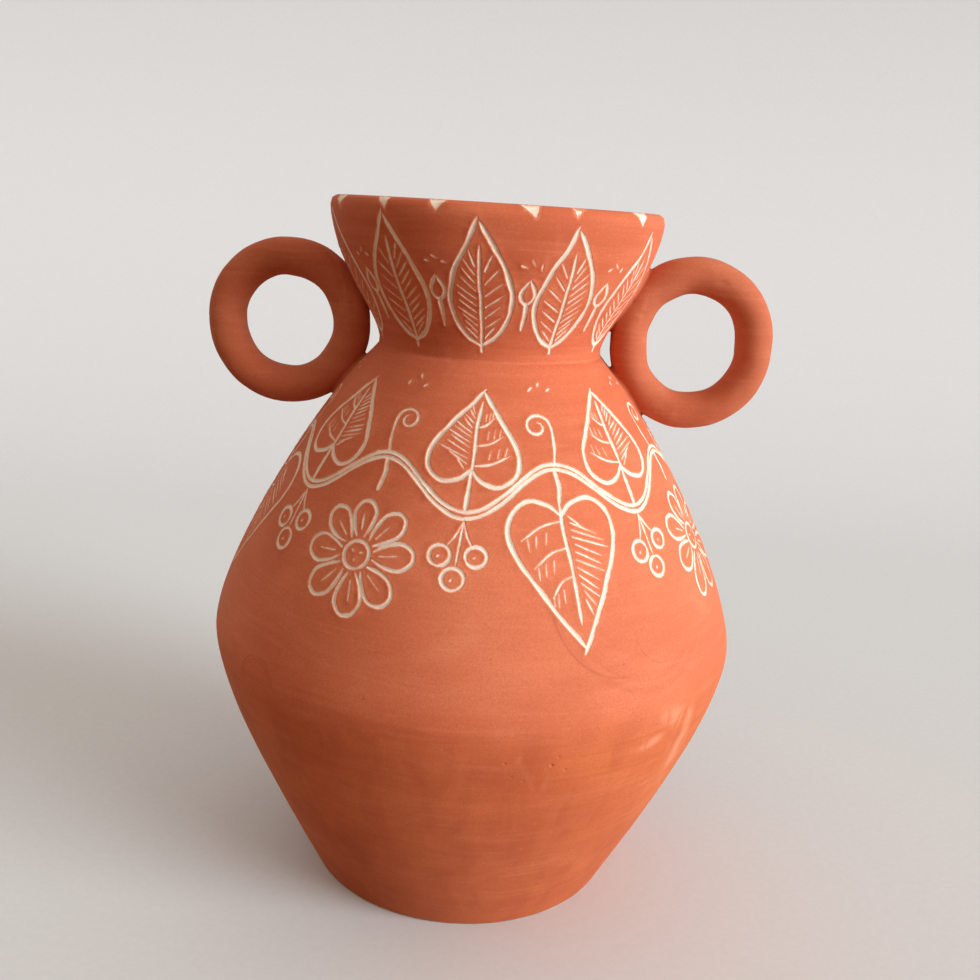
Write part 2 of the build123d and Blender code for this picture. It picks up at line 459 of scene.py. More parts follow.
class Carver:
    """Draws cuts on the roll and makes a skin of the wall that has a line of vertices along every cut's edges."""

    def __init__(self, wall, carving, low, high, seed):
        self.wall, self.carving, self.low, self.high = wall, carving, low, high
        self.wide, self.fine = carving.line_width, carving.fine_width
        self.random = random.Random(seed)
        self.strokes, self.nicks = [], []

    def scale_at(self, rise):
        """Length on the roll for each unit of length on the vase."""
        return ROLL_RADIUS / self.wall.radius_at(rise)

    def pen(self, angle, rise, size, turn=0.0, lean=0.0):
        """A way to cut a motif's strokes, given in shares of its size, at an angle and a height of the roll."""
        size = size * self.scale_at(rise)
        c, s = cos(turn), sin(turn)

        def stroke(points, width, pieces=14, **style):
            """A smooth stroke through given points, or with no pieces straight from point to point."""
            if pieces:
                points = spline([(u + lean * v * v, v) for u, v in points], pieces)
            u, v = np.transpose(points)
            self.cut(np.stack([ROLL_RADIUS * angle + size * (c * u - s * v), rise + size * (s * u + c * v)], 1),
                     width, **style)

        return stroke

    def cut(self, points, width, shallow=0.0, taper=(0.5, 0.5), wobble=0.25 * MM):
        """One stroke of the loop tool along a dense line on the roll."""
        points = without_repeats(points)
        scale = self.scale_at(points[:, 1])
        true_run = running(np.diff(running(steps_of(points))) / ((scale[1:] + scale[:-1]) / 2))
        total = true_run[-1]
        at = np.linspace(0, total, max(int(round(total / STROKE_STEP)), 2) + 1)
        line = np.stack([np.interp(at, true_run, points[:, axis]) for axis in (0, 1)], 1)
        seed = self.random.uniform(0, 100)
        drift, tremble, press = (noise_at(Vector((a / (length * MM), seed, row)) for a in at)
                                 for length, row in ((9, 0), (2.6, 5), (6, 9)))
        scale = self.scale_at(line[:, 1])
        line = line + ways_along(line)[1] * ((drift * wobble + tremble * 0.22 * wobble) * scale)[:, None]
        half = width / 2 * (1 + 0.28 * press + 0.12 * tremble)
        for side, share in ((at, taper[0]), (total - at, taper[1])):
            reach = min(TAPER_REACH, 0.3 * total)
            half = half * (1 - (1 - share) * np.clip(1 - side / reach, 0, 1) ** 1.5)
        self.strokes.append((line, np.maximum(half, LEAST_HALF), shallow))

    def rows(self):
        """Points and edges along every stroke: its middle, its sides, its edges and its burr."""
        points, edges = [], []

        def add(row, loop=False):
            start = len(points)
            points.extend(row)
            edges.extend((start + i, start + i + 1) for i in range(len(row) - 1))
            if loop:
                edges.append((start + len(row) - 1, start))

        for line, half, _ in self.strokes:
            direction, normal = ways_along(line)
            scale, wide = self.scale_at(line[:, 1])[:, None], half[:, None]
            add(list(line))
            if half.max() > WIDE_HALF:
                for side in (-1, 1):
                    add(list(line + side * 0.6 * wide * scale * normal))
            for beyond in (0, BURR_PEAK, BURR_FOOT):
                reach = (wide + beyond) * scale
                ends = []
                for i, way in ((-1, 1), (0, -1)):
                    angle = atan2(direction[i, 1] * way, direction[i, 0] * way)
                    ends += [line[i] + reach[i] * np.array([cos(angle + turn), sin(angle + turn)])
                             for turn in (radians(50), 0, radians(-50))]
                add(list(line + reach * normal) + ends[:3] + list((line - reach * normal)[::-1]) + ends[3:], True)
        for nick in self.nicks:
            add(nick, True)
        return points, edges

    def prepare(self):
        """Samples along all the cuts, by which the depth at any point is found."""
        self.samples = []
        for line, half, shallow in self.strokes:
            count = max(int((len(line) - 1) * STROKE_STEP / SAMPLE_STEP), 2)
            at = np.linspace(0, len(line) - 1, count + 1)
            x, y, w = (np.interp(at, np.arange(len(line)), values) for values in (*line.T, half))
            self.samples.extend((where, w, shallow) for where, w in zip(self.wall.surface(x / ROLL_RADIUS, y), w))
        self.tree = kdtree.KDTree(max(len(self.samples), 1))
        for i, sample in enumerate(self.samples):
            self.tree.insert(sample[0], i)
        self.tree.balance()

    def distances(self, x, y):
        """For points of the roll: distance to the nearest cut's edge, its half width, and how shallow it is."""
        result = np.empty((len(x), 3))
        for k, point in enumerate(self.wall.surface(x / ROLL_RADIUS, y)):
            best = (50 * MM, MM, 0)
            for _, i, away in self.tree.find_n(point, 5):
                _, half, shallow = self.samples[i]
                if away - half < best[0]:
                    best = (away - half, half, shallow)
            result[k] = best
        return result

    def nick_depth(self, x, y):
        """How far a point of the roll lies inside a knife nick, in true length."""
        inside = np.full(len(x), -1.0)
        scale = self.scale_at(y)
        for corners in self.nicks:
            low, high = corners.min(0) - 2 * MM, corners.max(0) + 2 * MM
            near = (x > low[0]) & (x < high[0]) & (y > low[1]) & (y < high[1])
            deepest = np.full(near.sum(), 1.0)
            for a, b in zip(corners, np.roll(corners, -1, axis=0)):
                way = (b - a) / hypot(*(b - a))
                deepest = np.minimum(deepest, way[0] * (y[near] - a[1]) - way[1] * (x[near] - a[0]))
            inside[near] = np.maximum(inside[near], deepest / scale[near])
        return inside

    def skin(self, name):
        """The outside between two levels as a mesh with the cuts, the burrs and the nicks in it."""
        low, high = self.wall.rise_at(self.low), self.wall.rise_at(self.high)
        half_roll = pi * ROLL_RADIUS
        self.prepare()
        points, edges = self.rows()
        inside = [low + MARGIN < y < high - MARGIN and abs(x) < half_roll - MARGIN for x, y in points]
        order = np.cumsum(inside) - 1
        edges = [(int(order[a]), int(order[b])) for a, b in edges if inside[a] and inside[b]]
        points = [p for p, keep in zip(points, inside) if keep]

        grid, levels, y = [], [], low
        while True:
            y += GRID * ROW_SHARE * self.scale_at(y)
            if y > high - GRID * 0.6 * self.scale_at(high):
                break
            count = int(2 * half_roll / (GRID * self.scale_at(y)))
            shift = 0.5 if len(levels) % 2 else 1.0
            xs = -half_roll + 2 * half_roll * (np.arange(count) + shift) / (count + 0.5)
            grid.extend((x, y) for x in xs if abs(x) < half_roll - MARGIN)
            levels.append(y)
        grid = np.array(grid)
        points.extend(grid[self.distances(*grid.T)[:, 0] > BURR_FOOT + MARGIN])

        start = len(points)
        across = [-half_roll + 2 * half_roll * k / AROUND for k in range(AROUND + 1)]
        border = ([(x, low) for x in across] + [(half_roll, y) for y in levels]
                  + [(x, high) for x in across[::-1]] + [(-half_roll, y) for y in levels[::-1]])
        points.extend(border)
        edges.extend((start + i, start + (i + 1) % len(border)) for i in range(len(border)))

        verts, _, faces, *_ = geometry.delaunay_2d_cdt([Vector(p) for p in points], edges, [], 0, 0.006 * MM)
        x, y = np.array([(v.x, v.y) for v in verts]).T
        lift, reach, shallow = self.heights(x, y)
        mesh = bpy.data.meshes.new(name)
        mesh.from_pydata(self.wall.surface(x / ROLL_RADIUS, y, lift).tolist(), [], [tuple(f) for f in faces])
        for label, values in (("carve", reach), ("shallow", shallow)):
            mesh.attributes.new(label, "FLOAT", "POINT").data.foreach_set("value", values)
        return linked(name, mesh)

    def heights(self, x, y):
        """Lift along the normal, how deep in a cut each point is for the colours, and how shallow the cut is."""
        away, half, shallow = self.distances(x, y).T
        where = self.wall.surface(x / ROLL_RADIUS, y)
        lumps, chatter = (
            np.array([noise.noise(Vector(p) / size) if a < limit else 0 for p, a in zip(where, away)])
            for size, limit in ((1.7 * MM, BURR_FOOT), (3.1 * MM, 0)))
        burr = self.carving.burr * (0.55 + 1.3 * np.maximum(lumps, -0.25)) * (1 - 0.7 * shallow)
        beside = burr * np.interp(away, (0, BURR_PEAK, BURR_FOOT), (0.35, 1.0, 0.0))
        across = np.clip((away + half) / half, 0, 1)
        full = self.carving.depth_share * 2 * half * (1 - 0.62 * shallow) * (1 + 0.22 * chatter)
        lift = np.where(away < 0, 0.35 * burr - full * (1 - across**3), beside)
        reach = 1 - away / MM
        if self.nicks:
            inside = self.nick_depth(x, y)
            lift = np.where(inside > 0, -np.minimum(0.5 * inside, 0.55 * MM), lift)
            reach = np.where(inside > -BURR_FOOT, np.maximum(reach, 1 + inside / MM), reach)
        return lift, np.clip(reach, 0, 2), shallow * (away < BURR_FOOT)


def spline(points, per_piece):
    """A smooth line through given points."""
    points = np.array(points, float)
    padded = np.concatenate([[2 * points[0] - points[1]], points, [2 * points[-1] - points[-2]]])
    t = np.linspace(0, 1, per_piece, endpoint=False)[:, None]
    pieces = [0.5 * (2 * b + (c - a) * t + (2 * a - 5 * b + 4 * c - d) * t**2 + (3 * b - a - 3 * c + d) * t**3)
              for a, b, c, d in zip(padded, padded[1:], padded[2:], padded[3:])]
    return np.concatenate(pieces + [points[-1:]])


def mirrored(points):
    return [(-u, v) for u, v in points]


# Right-hand outlines of the leaves, in shares of their length
HEART = [(0.0, 0.0), (0.11, -0.11), (0.30, -0.15), (0.46, -0.02), (0.48, 0.20), (0.36, 0.46), (0.17, 0.76),
         (0.0, 1.02)]
BLADE = [(0.0, 0.0), (0.13, 0.10), (0.22, 0.28), (0.235, 0.48), (0.17, 0.70), (0.07, 0.88), (0.0, 1.0)]
PETAL = [(0.31, -0.07), (0.52, -0.17), (0.78, -0.225), (0.97, -0.11), (1.0, 0.02), (0.95, 0.13), (0.76, 0.22),
         (0.5, 0.165), (0.31, 0.06)]


def width_at(leaf, height):
    """Half width of a leaf at a share of its length."""
    widths, heights = zip(*(p for p in leaf if p[1] >= 0))
    return float(np.interp(height, heights, widths))


def draw_heart(carver, angle, rise, size, turn):
    """An ivy leaf: two outlines that meet in the tip, a midrib, veins on one half and hatching on the other."""
    wide, fine, chance = carver.wide, carver.fine, carver.random
    stroke = carver.pen(angle, rise, size, turn, chance.uniform(-0.06, 0.06))
    stroke(HEART, wide, taper=(0.6, 0.35), wobble=0.5 * MM)
    stroke(mirrored(HEART[:-1] + [(-0.02, 1.06)]), wide, taper=(0.8, 0.3), wobble=0.5 * MM)
    stroke([(0, -0.16), (0.005, 0.1), (-0.01, 0.45), (0.0, 0.86)], 0.8 * wide, taper=(0.6, 0.25))
    side = chance.choice((-1, 1))
    for height in (0.04, 0.27, 0.50):
        reach = width_at(HEART, height + 0.16) * 0.8
        stroke([(0, height), (side * 0.5 * reach, height + 0.04), (side * reach, height + 0.15)], fine,
               taper=(0.7, 0.3))
        for share in (0.42, 0.66, 0.86):
            start = (side * share * reach, height + 0.05 + 0.11 * share)
            end = (side * (share + 0.05) * reach * chance.uniform(0.9, 1.02), start[1] + 0.095)
            stroke([start, ((start[0] + end[0]) / 2, (start[1] + end[1]) / 2), end], 0.75 * fine, 0,
                   taper=(0.7, 0.3), wobble=0.1 * MM, shallow=0.4)
    for k in range(12):
        height = 0.062 * k
        reach = width_at(HEART, height + 0.10) * chance.uniform(0.70, 0.88)
        stroke([(-side * chance.uniform(0.05, 0.08), height), (-side * reach, height + 0.12)], 0.85 * fine, 6,
               taper=(0.5, 0.25), wobble=0.15 * MM, shallow=0.5 if k % 4 == 2 else 0.0)


def draw_blade(carver, angle, rise, size, turn):
    """An upright pointed leaf with a double outline on one side and herringbone veins."""
    wide, fine, chance = carver.wide, carver.fine, carver.random
    stroke = carver.pen(angle, rise, size, turn)
    side = chance.choice((-1, 1))
    stroke(BLADE, wide, taper=(0.5, 0.3), wobble=0.4 * MM)
    stroke(mirrored(BLADE[:-1] + [(0.01, 1.03)]), wide, taper=(0.7, 0.3), wobble=0.4 * MM)
    stroke([(0, -0.06), (0.004, 0.3), (-0.004, 0.6), (0, 0.86)], 0.75 * wide, taper=(0.8, 0.25))
    for way, count in ((side, 11), (-side, 7)):
        for k in range(count):
            height = 0.08 + 0.70 * k / count
            reach = width_at(BLADE, height + 0.10) * chance.uniform(0.66, 0.80)
            if reach >= 0.055:
                stroke([(way * 0.035, height), (way * reach, height + 0.11)], 0.85 * fine, 6, taper=(0.7, 0.25),
                       wobble=0.12 * MM, shallow=0.5 if (k + way) % 5 == 0 else 0.0)


def draw_ring(carver, stroke, centre, radius, width, **style):
    start = carver.random.uniform(0, 2 * pi)
    turn = np.linspace(start, start + 2 * pi * 1.03, 28)
    squash = carver.random.uniform(0.94, 1.06)
    stroke(list(zip(centre[0] + radius * np.cos(turn), centre[1] + radius * squash * np.sin(turn))), width, 0,
           **style)


def draw_dot(stroke, centre, length, turn, width, **style):
    u, v = 0.5 * length * cos(turn), 0.5 * length * sin(turn)
    stroke([(centre[0] - u, centre[1] - v), centre, (centre[0] + u, centre[1] + v)], width, 0, taper=(0.45, 0.6),
           wobble=0, **style)


def draw_rosette(carver, angle, rise, size, turn, petals=8):
    """A flower of loop petals round a ring of dots."""
    wide, fine, chance = carver.wide, carver.fine, carver.random
    stroke = carver.pen(angle, rise, size / 2, turn)
    draw_ring(carver, stroke, (0, 0), 0.235, 0.8 * wide)
    for k in range(3):
        a = 2 * pi * k / 3 + 0.4
        draw_dot(stroke, (0.09 * cos(a), 0.09 * sin(a)), 0.05, a, 0.9 * fine)
    for k in range(petals):
        a = 2 * pi * k / petals + chance.uniform(-0.05, 0.05)
        long = chance.uniform(0.93, 1.05)
        petal = [(long * u * cos(a) - v * sin(a), long * u * sin(a) + v * cos(a)) for u, v in PETAL]
        stroke(petal, 0.85 * wide, 8, taper=(0.5, 0.4), wobble=0.2 * MM)
        stroke([(0.42 * cos(a), 0.42 * sin(a)), (0.72 * cos(a + 0.02), 0.72 * sin(a + 0.02))], 0.85 * fine, 4,
               taper=(0.8, 0.3), shallow=0.5 * (k % 2))


def draw_berries(carver, angle, rise, size, turn):
    """Three berries on short stalks."""
    stroke = carver.pen(angle, rise, size, turn)
    for u, v in ((-0.34, 0.62), (0.32, 0.70), (0.0, 1.08)):
        stroke([(0, 0), (0.35 * u, 0.45 * v), (0.75 * u, 0.76 * v)], carver.fine, 6, taper=(0.7, 0.6),
               wobble=0.15 * MM)
        draw_ring(carver, stroke, (u, v), 0.20, 0.85 * carver.wide, wobble=0.1 * MM)
        draw_dot(stroke, (u + 0.02, v + 0.02), 0.05, 0.7, carver.fine)


def draw_tendril(carver, angle, rise, size, turn, way):
    """A shoot that rises and curls up at its end."""
    along = np.linspace(0, 1, 40)
    bend, radius = pi - 7.6 * along, 0.23 * (1 - 0.68 * along)
    curl = np.stack([0.20 + radius * np.cos(bend), 0.60 + radius * np.sin(bend)], 1)
    foot = spline([(0.06, 0.0), (0.0, 0.22), (-0.03, 0.45), (-0.03, 0.60)], 8)[:-1]
    carver.pen(angle, rise, size, turn)(chain(foot, curl) * (way, 1), carver.fine * 1.25, 0, taper=(0.9, 0.35),
                                        wobble=0.2 * MM)


def draw_seeds(carver, angle, rise, places, width):
    """Small gouges like seeds; some only scratch the slip."""
    stroke, chance = carver.pen(angle, rise, MM), carver.random
    for k, place in enumerate(places):
        draw_dot(stroke, place, chance.uniform(1.2, 2.4), chance.uniform(0, pi), width,
                 shallow=0.8 if k % 2 else 0.15)


def draw_shoulder(carver, wall, shape):
    """A waving double stem with ivy leaves, rosettes, berries and tendrils. It ends in two tips at the back."""
    waves, jitter = carver.carving.waves, carver.random.uniform
    # How far the stem runs round the vase, at which share of the shoulder's height, and how far it swings
    span, share, swing = radians(345), 0.655, 9.5 * MM
    middle = wall.rise_at(shape.belly_level + share * (shape.waist_level - shape.belly_level))
    scale = carver.scale_at(middle)

    def stem(angle):
        return middle + swing * scale * np.cos(waves * 2 * pi * (angle + span / 2) / span)

    def stalk(angle, points):
        carver.pen(angle, stem(angle), MM)(points, carver.wide, taper=(0.8, 0.7))

    angles = np.linspace(-span / 2, span / 2, 60 * waves)
    pinch = np.clip((span / 2 - np.abs(angles)) / radians(5), 0, 1)
    for side in (-1, 1):
        line = np.stack([angles * ROLL_RADIUS, stem(angles) + side * 0.60 * carver.wide * scale * pinch], 1)
        carver.cut(line, 0.9 * carver.wide, taper=(0.3, 0.3), wobble=0.35 * MM)

    period = span / waves
    for k in range(waves):
        crest = -span / 2 + k * period
        trough = crest + period / 2
        # Above each trough stands a leaf on its stalk, and below it hang berries
        lean = radians(jitter(-7, 7))
        unit = MM * carver.scale_at(stem(trough))
        stalk(trough, [(0, 1.8), (-6 * lean, 7), (-14 * lean, 15)])
        draw_heart(carver, trough - 16 * lean * unit / ROLL_RADIUS, stem(trough) + 18 * unit,
                   35 * MM * jitter(0.96, 1.05), lean)
        draw_berries(carver, trough, stem(trough) - 3 * MM, 18 * MM, pi + radians(jitter(-8, 8)))
        if k == 0:
            continue
        # Below each crest hangs a rosette or a leaf, and above it a shoot curls beside a few seeds
        top = stem(crest)
        unit = MM * carver.scale_at(top)
        stalk(crest, [(0, -1.8), (0.8, -7), (0, -13)])
        if k % 2:
            draw_rosette(carver, crest, top - 34 * unit, 45 * MM, radians(jitter(0, 40)))
        else:
            draw_heart(carver, crest, top - 17.5 * unit, 41 * MM * jitter(0.97, 1.03), pi + radians(jitter(-7, 7)))
        way = 1 if k % 2 else -1
        draw_tendril(carver, crest - way * 3 * MM / ROLL_RADIUS, top + 2 * MM, 25 * MM * jitter(0.95, 1.05),
                     radians(jitter(-5, 5)), way)
        seeds = [(u + jitter(-0.8, 0.8), v + jitter(-0.8, 0.8)) for u, v in ((-3.6, 0.8), (0.2, 3.6), (3.8, 0.4))]
        draw_seeds(carver, crest, top + 34 * unit, seeds, 1.15 * carver.fine)


def draw_neck(carver, wall, shape):
    """Upright leaves round the flare, a bud and three gouges between them, and knife nicks at the rim."""
    chance, jitter = carver.random, carver.random.uniform
    leaves, nicks = carver.carving.neck_leaves, carver.carving.rim_nicks
    base, stalk_foot, seed_rise = (wall.rise_at(shape.waist_level + height * MM) for height in (6, 13, 36.5))
    for k in range(leaves):
        angle = -pi + (k + 0.5) * 2 * pi / leaves
        draw_blade(carver, angle, base + jitter(0, 1) * MM, 40 * MM * jitter(0.96, 1.05), radians(jitter(-4, 4)))
        if k == leaves - 1:
            continue
        angle += pi / leaves
        stroke = carver.pen(angle, stalk_foot, MM, radians(jitter(-4, 4)))
        stroke([(0, 0), (0.3, 5), (0, 11)], carver.wide, taper=(0.4, 0.9))
        for way in (-1, 1):
            stroke([(0, 10.4), (way * 1.9, 12.4), (way * 2.2, 15.2), (0, 19.4)], 0.85 * carver.wide, 8,
                   taper=(0.8, 0.35), wobble=0.15 * MM)
        draw_seeds(carver, angle, seed_rise, [(-3.2, 0), (0, 1.6), (3.2, 0)], carver.fine * 1.1)
    unit = MM * ROLL_RADIUS / shape.rim_radius
    for k in range(nicks):
        angle = -pi + (k + 0.5 + jitter(-0.22, 0.22)) * 2 * pi / nicks
        length = jitter(3.5, 10.5) * unit
        drop = jitter(0.32, 0.5) * length + 2.6 * unit
        steep = chance.choice((0.22, 0.5, 0.78))
        corner = (ROLL_RADIUS * angle - length / 2, wall.rise[-1] - 0.7 * unit)
        shares = ((0, 0), (0.38 * steep, 0.45), (steep, 1), (0.56 + 0.48 * steep, 0.45), (1, 0))
        carver.nicks.append(np.array(corner) + np.array(shares) * (length, -drop))


# ---------------------------------------------------------------- materials

VECTOR, FLOAT, COLOUR = "NodeSocketVector", "NodeSocketFloat", "NodeSocketColor"


def linear(colour):
    return tuple(c / 12.92 if c <= 0.04045 else ((c + 0.055) / 1.055) ** 2.4 for c in colour) + (1.0,)


class Nodes:
    """Adds shader nodes to a tree. A value that another node puts out becomes a link."""

    def __init__(self, tree):
        self.tree = tree

    def feed(self, inputs, values):
        for key, value in values.items():
            if isinstance(value, bpy.types.NodeSocket):
                self.tree.links.new(value, inputs[key])
            else:
                inputs[key].default_value = value

    def add(self, kind, values=None, **settings):
        """The outputs of a new node with these settings and inputs."""
        node = self.tree.nodes.new("ShaderNode" + kind)
        for key, value in settings.items():
            setattr(node, key, value)
        self.feed(node.inputs, values or {})
        return node.outputs

    def mix(self, factor, first, second):
        return self.add("Mix", {0: factor, 6: first, 7: second}, data_type="RGBA")[2]

    def blend(self, factor, first, second):
        return self.add("Mix", {0: factor, 2: first, 3: second})[0]

    def maths(self, operation, first, *others, clamp=False):
        for other in others or (0.0,):
            first = self.add("Math", {0: first, 1: other}, operation=operation, use_clamp=clamp)[0]
        return first

    def times(self, *factors):
        return self.maths("MULTIPLY", *factors)

    def plus(self, *terms, clamp=False):
        return self.maths("ADD", *terms, clamp=clamp)

    def ramp(self, value, low, high, to_low=0.0, to_high=1.0):
        return self.add("MapRange", {"Value": value, "From Min": low, "From Max": high, "To Min": to_low,
                                     "To Max": to_high}, interpolation_type="SMOOTHSTEP")[0]

    def noise(self, place, scale, turn=(0, 0, 0), move=(0, 0, 0), detail=2.0, distortion=0.0, rough=0.55):
        """Noise stretched by a scale along each axis, after a turn."""
        scale = scale if isinstance(scale, tuple) else (scale,) * 3
        mapped = self.add("Mapping", {"Vector": place, "Rotation": turn, "Scale": scale, "Location": move})[0]
        return self.add("TexNoise", {"Vector": mapped, "Scale": 1.0, "Detail": detail, "Roughness": rough,
                                     "Distortion": distortion})["Fac"]

    def upward(self, vector):
        return self.add("SeparateXYZ", {"Vector": vector})["Z"]

    def attribute(self, name):
        return self.add("Attribute", attribute_name=name, attribute_type="GEOMETRY")["Fac"]

    def bump(self, height, strength, distance):
        return self.add("Bump", {"Height": height, "Strength": strength, "Distance": distance})["Normal"]

    def group(self, tree, values):
        return self.add("Group", values, node_tree=tree)

    def seen_rays(self):
        """1 for rays that see the surroundings, straight on or in a gloss, and 0 for those that light the vase."""
        rays = self.add("LightPath")
        return self.plus(*(rays[f"Is {kind} Ray"] for kind in ("Camera", "Glossy", "Transmission")), clamp=True)


def shader_group(name, inputs, outputs):
    """Makes of a function that returns outputs a group that is built once and then shared."""
    def shared(fill):
        def get():
            tree = bpy.data.node_groups.get(name)
            if not tree:
                tree = bpy.data.node_groups.new(name, "ShaderNodeTree")
                for sockets, way in ((inputs, "INPUT"), (outputs, "OUTPUT")):
                    for label, kind in sockets.items():
                        tree.interface.new_socket(label, in_out=way, socket_type=kind)
                nodes = Nodes(tree)
                given = tree.nodes.new("NodeGroupInput").outputs
                nodes.feed(tree.nodes.new("NodeGroupOutput").inputs, fill(nodes, given))
            return tree
        return get
    return shared


def surface_of(name, fill, *given):
    """A material whose function returns the shader's inputs. It is built once and then shared."""
    material = bpy.data.materials.get(name)
    if not material:
        material = bpy.data.materials.new(name)
        material.use_nodes = True
        nodes = Nodes(material.node_tree)
        shader = next(n for n in material.node_tree.nodes if n.type == "BSDF_PRINCIPLED")
        nodes.feed(shader.inputs, fill(nodes, nodes.add("TexCoord")["Object"], *given))
    return material


@shader_group("Brushed slip", dict(Place=VECTOR, Coat=COLOUR, Deep=COLOUR, Pale=COLOUR, Banding=FLOAT,
                                   Upright=FLOAT, Scuffs=FLOAT, Dust=FLOAT, Worn=FLOAT, Pooled=FLOAT),
              dict(Colour=COLOUR, Roughness=FLOAT, Height=FLOAT))
def slip_group(n, given):
    """Brushed slip: strokes of the brush, cloudy thickness, wiping marks, scuffs, dust with a painted sheen, and
    grain.
    """
    def streaks(*scale, **style):
        return n.noise(given["Place"], scale, **style)

    clouds = streaks(13, 13, 17, detail=3.0, distortion=0.7)
    bands = streaks(5, 5, 190, detail=4.0, distortion=0.25)
    lines = streaks(9, 9, 1100)
    strokes = streaks(85, 85, 7, detail=4.0, distortion=0.5, move=(1, 6, 2))
    wipes = streaks(15, 15, 46, turn=(0.5, 0.85, 0.2), detail=3.0, distortion=1.3)
    bristles = streaks(26, 26, 400, turn=(0.10, 0.06, 0), detail=3.0, distortion=0.9, move=(7, 3, 4))
    laps = streaks(16, 16, 34, turn=(0.3, -0.5, 0.1), detail=1.0, distortion=0.8, move=(2, 9, 5))
    rubs = streaks(55, 55, 24, turn=(0.2, -0.3, 0.1), detail=4.0, distortion=0.5, move=(3, 1, 7))
    grain = streaks(1350, 1350, 1350, detail=4.0, rough=0.75)
    speck = streaks(420, 420, 420, detail=1.0, move=(5, 2, 1))

    def layered(colour, layers):
        """Tints over a colour, each where a pattern runs from one value to another and at most so strong."""
        for pattern, low, high, most, tint in layers:
            colour = n.mix(n.ramp(pattern, low, high, 0.0, most), colour, given[tint])
        return colour

    thick = n.times(n.ramp(clouds, 0.34, 0.68), 0.42)
    band = n.times(n.ramp(bands, 0.35, 0.72), given["Banding"], 0.42)
    stroke = n.times(n.ramp(strokes, 0.40, 0.70), given["Upright"], 0.34)
    deep = n.plus(n.plus(thick, stroke), n.plus(band, given["Pooled"]), clamp=True)
    colour = n.mix(deep, given["Coat"], given["Deep"])
    colour = n.mix(n.times(n.ramp(lines, 0.5, 0.78), given["Banding"], 0.30), colour, given["Deep"])
    colour = layered(colour, ((bristles, 0.50, 0.72, 0.24, "Deep"), (bristles, 0.46, 0.30, 0.13, "Pale"),
                              (laps, 0.535, 0.555, 0.13, "Deep"), (wipes, 0.52, 0.74, 0.17, "Pale"),
                              (wipes, 0.47, 0.28, 0.20, "Deep")))
    scuff = n.plus(n.times(n.ramp(rubs, 0.62, 0.76), given["Scuffs"]), given["Worn"], clamp=True)
    # Paler on the slope above the belly joint: partly dust, partly a painted sheen
    colour = n.mix(n.times(given["Dust"], n.ramp(clouds, 0.75, 0.25, 0.55, 1.0)), colour, given["Pale"])
    colour = n.mix(scuff, colour, given["Pale"])
    colour = layered(colour, ((grain, 0.42, 0.72, 0.42, "Deep"), (grain, 0.45, 0.30, 0.20, "Pale"),
                              (speck, 0.74, 0.80, 0.25, "Pale"), (speck, 0.25, 0.19, 0.55, "Deep")))
    height = n.plus(n.times(n.plus(n.times(bands, 0.5), n.times(lines, 0.28)), given["Banding"]),
                    n.times(strokes, given["Upright"], 0.25), n.times(wipes, 0.30), n.times(bristles, 0.30),
                    n.times(grain, 0.26), n.times(n.ramp(speck, 0.19, 0.25), 0.10))
    rough = n.ramp(n.plus(scuff, n.ramp(grain, 0.3, 0.7, -0.1, 0.1)), -0.1, 1.0, 0.80, 0.62)
    return {"Colour": colour, "Roughness": rough, "Height": height}


# Marks in the slip: kind, angle from the front, height in mm, half width and half height in mm, lean, strength
MARKS = (("worn", 49, 104, 15, 6, -20, 0.9), ("worn", 54.5, 86, 9, 26, 6, 0.8),
         ("worn", 43, 96, 8.5, 3.4, 12, 0.9), ("worn", -33, 64, 4.5, 13, 8, 0.5),
         ("worn", 14, 65.5, 8, 2, -5, 0.9), ("worn", 131, 92, 8, 2.4, 18, 0.5),
         ("wiped", -42.5, 106, 13, 13, 0, 0.5), ("wiped", 41, 152, 44, 40, 150, 0.30),
         ("wiped", 168, 98, 16, 14, 20, 0.4), ("wiped", -118, 150, 36, 30, 200, 0.28),
         ("scratch", 34, 147, 27, 25, 140, 0.6), ("scratch", 47, 140, 15, 18, 135, 0.45),
         ("scratch", -140, 128, 24, 18, 160, 0.4))


@shader_group("Slip marks", dict(Place=VECTOR), dict(Worn=FLOAT, Pooled=FLOAT))
def marks_group(n, given):
    """Pale worn spots, and arcs that a wiping hand left, at their places on the wall."""
    soft = n.ramp(n.noise(given["Place"], (170, 170, 60), detail=4.0, distortion=0.4), 0.30, 0.62)
    totals = {"Worn": 0.0, "Pooled": 0.0}
    for kind, angle, level, wide, tall, lean, strength in MARKS:
        turn, reach = radians(angle), (110.0 if 60 < level < 140 else 98.0) * MM
        near = n.add("Mapping", {
            "Vector": given["Place"], "Location": (reach * sin(turn), -reach * cos(turn), level * MM),
            "Rotation": (0, radians(-lean), turn), "Scale": (wide * MM, 1.2 * max(wide, tall) * MM, tall * MM),
        }, vector_type="TEXTURE")[0]
        away = n.add("VectorMath", {0: near}, operation="LENGTH")["Value"]
        if kind == "scratch":
            off = n.maths("ABSOLUTE", n.maths("SUBTRACT", away, 0.9))
            value = n.times(n.ramp(off, 0.022, 0.006), n.ramp(n.upward(near), 0.45, 0.7))
        elif kind == "worn":
            value = n.times(n.ramp(away, 1.1, 0.15), soft)
        else:
            rings = n.add("TexNoise", {"W": away, "Scale": 9.0, "Detail": 3.0}, noise_dimensions="1D")["Fac"]
            value = n.times(n.ramp(rings, 0.45, 0.62), n.ramp(n.upward(near), 0.0, 0.5), n.ramp(away, 0.45, 0.62),
                            n.ramp(away, 1.0, 0.85))
        total = "Worn" if kind == "worn" else "Pooled"
        totals[total] = n.plus(n.times(value, strength), totals[total])
    return totals


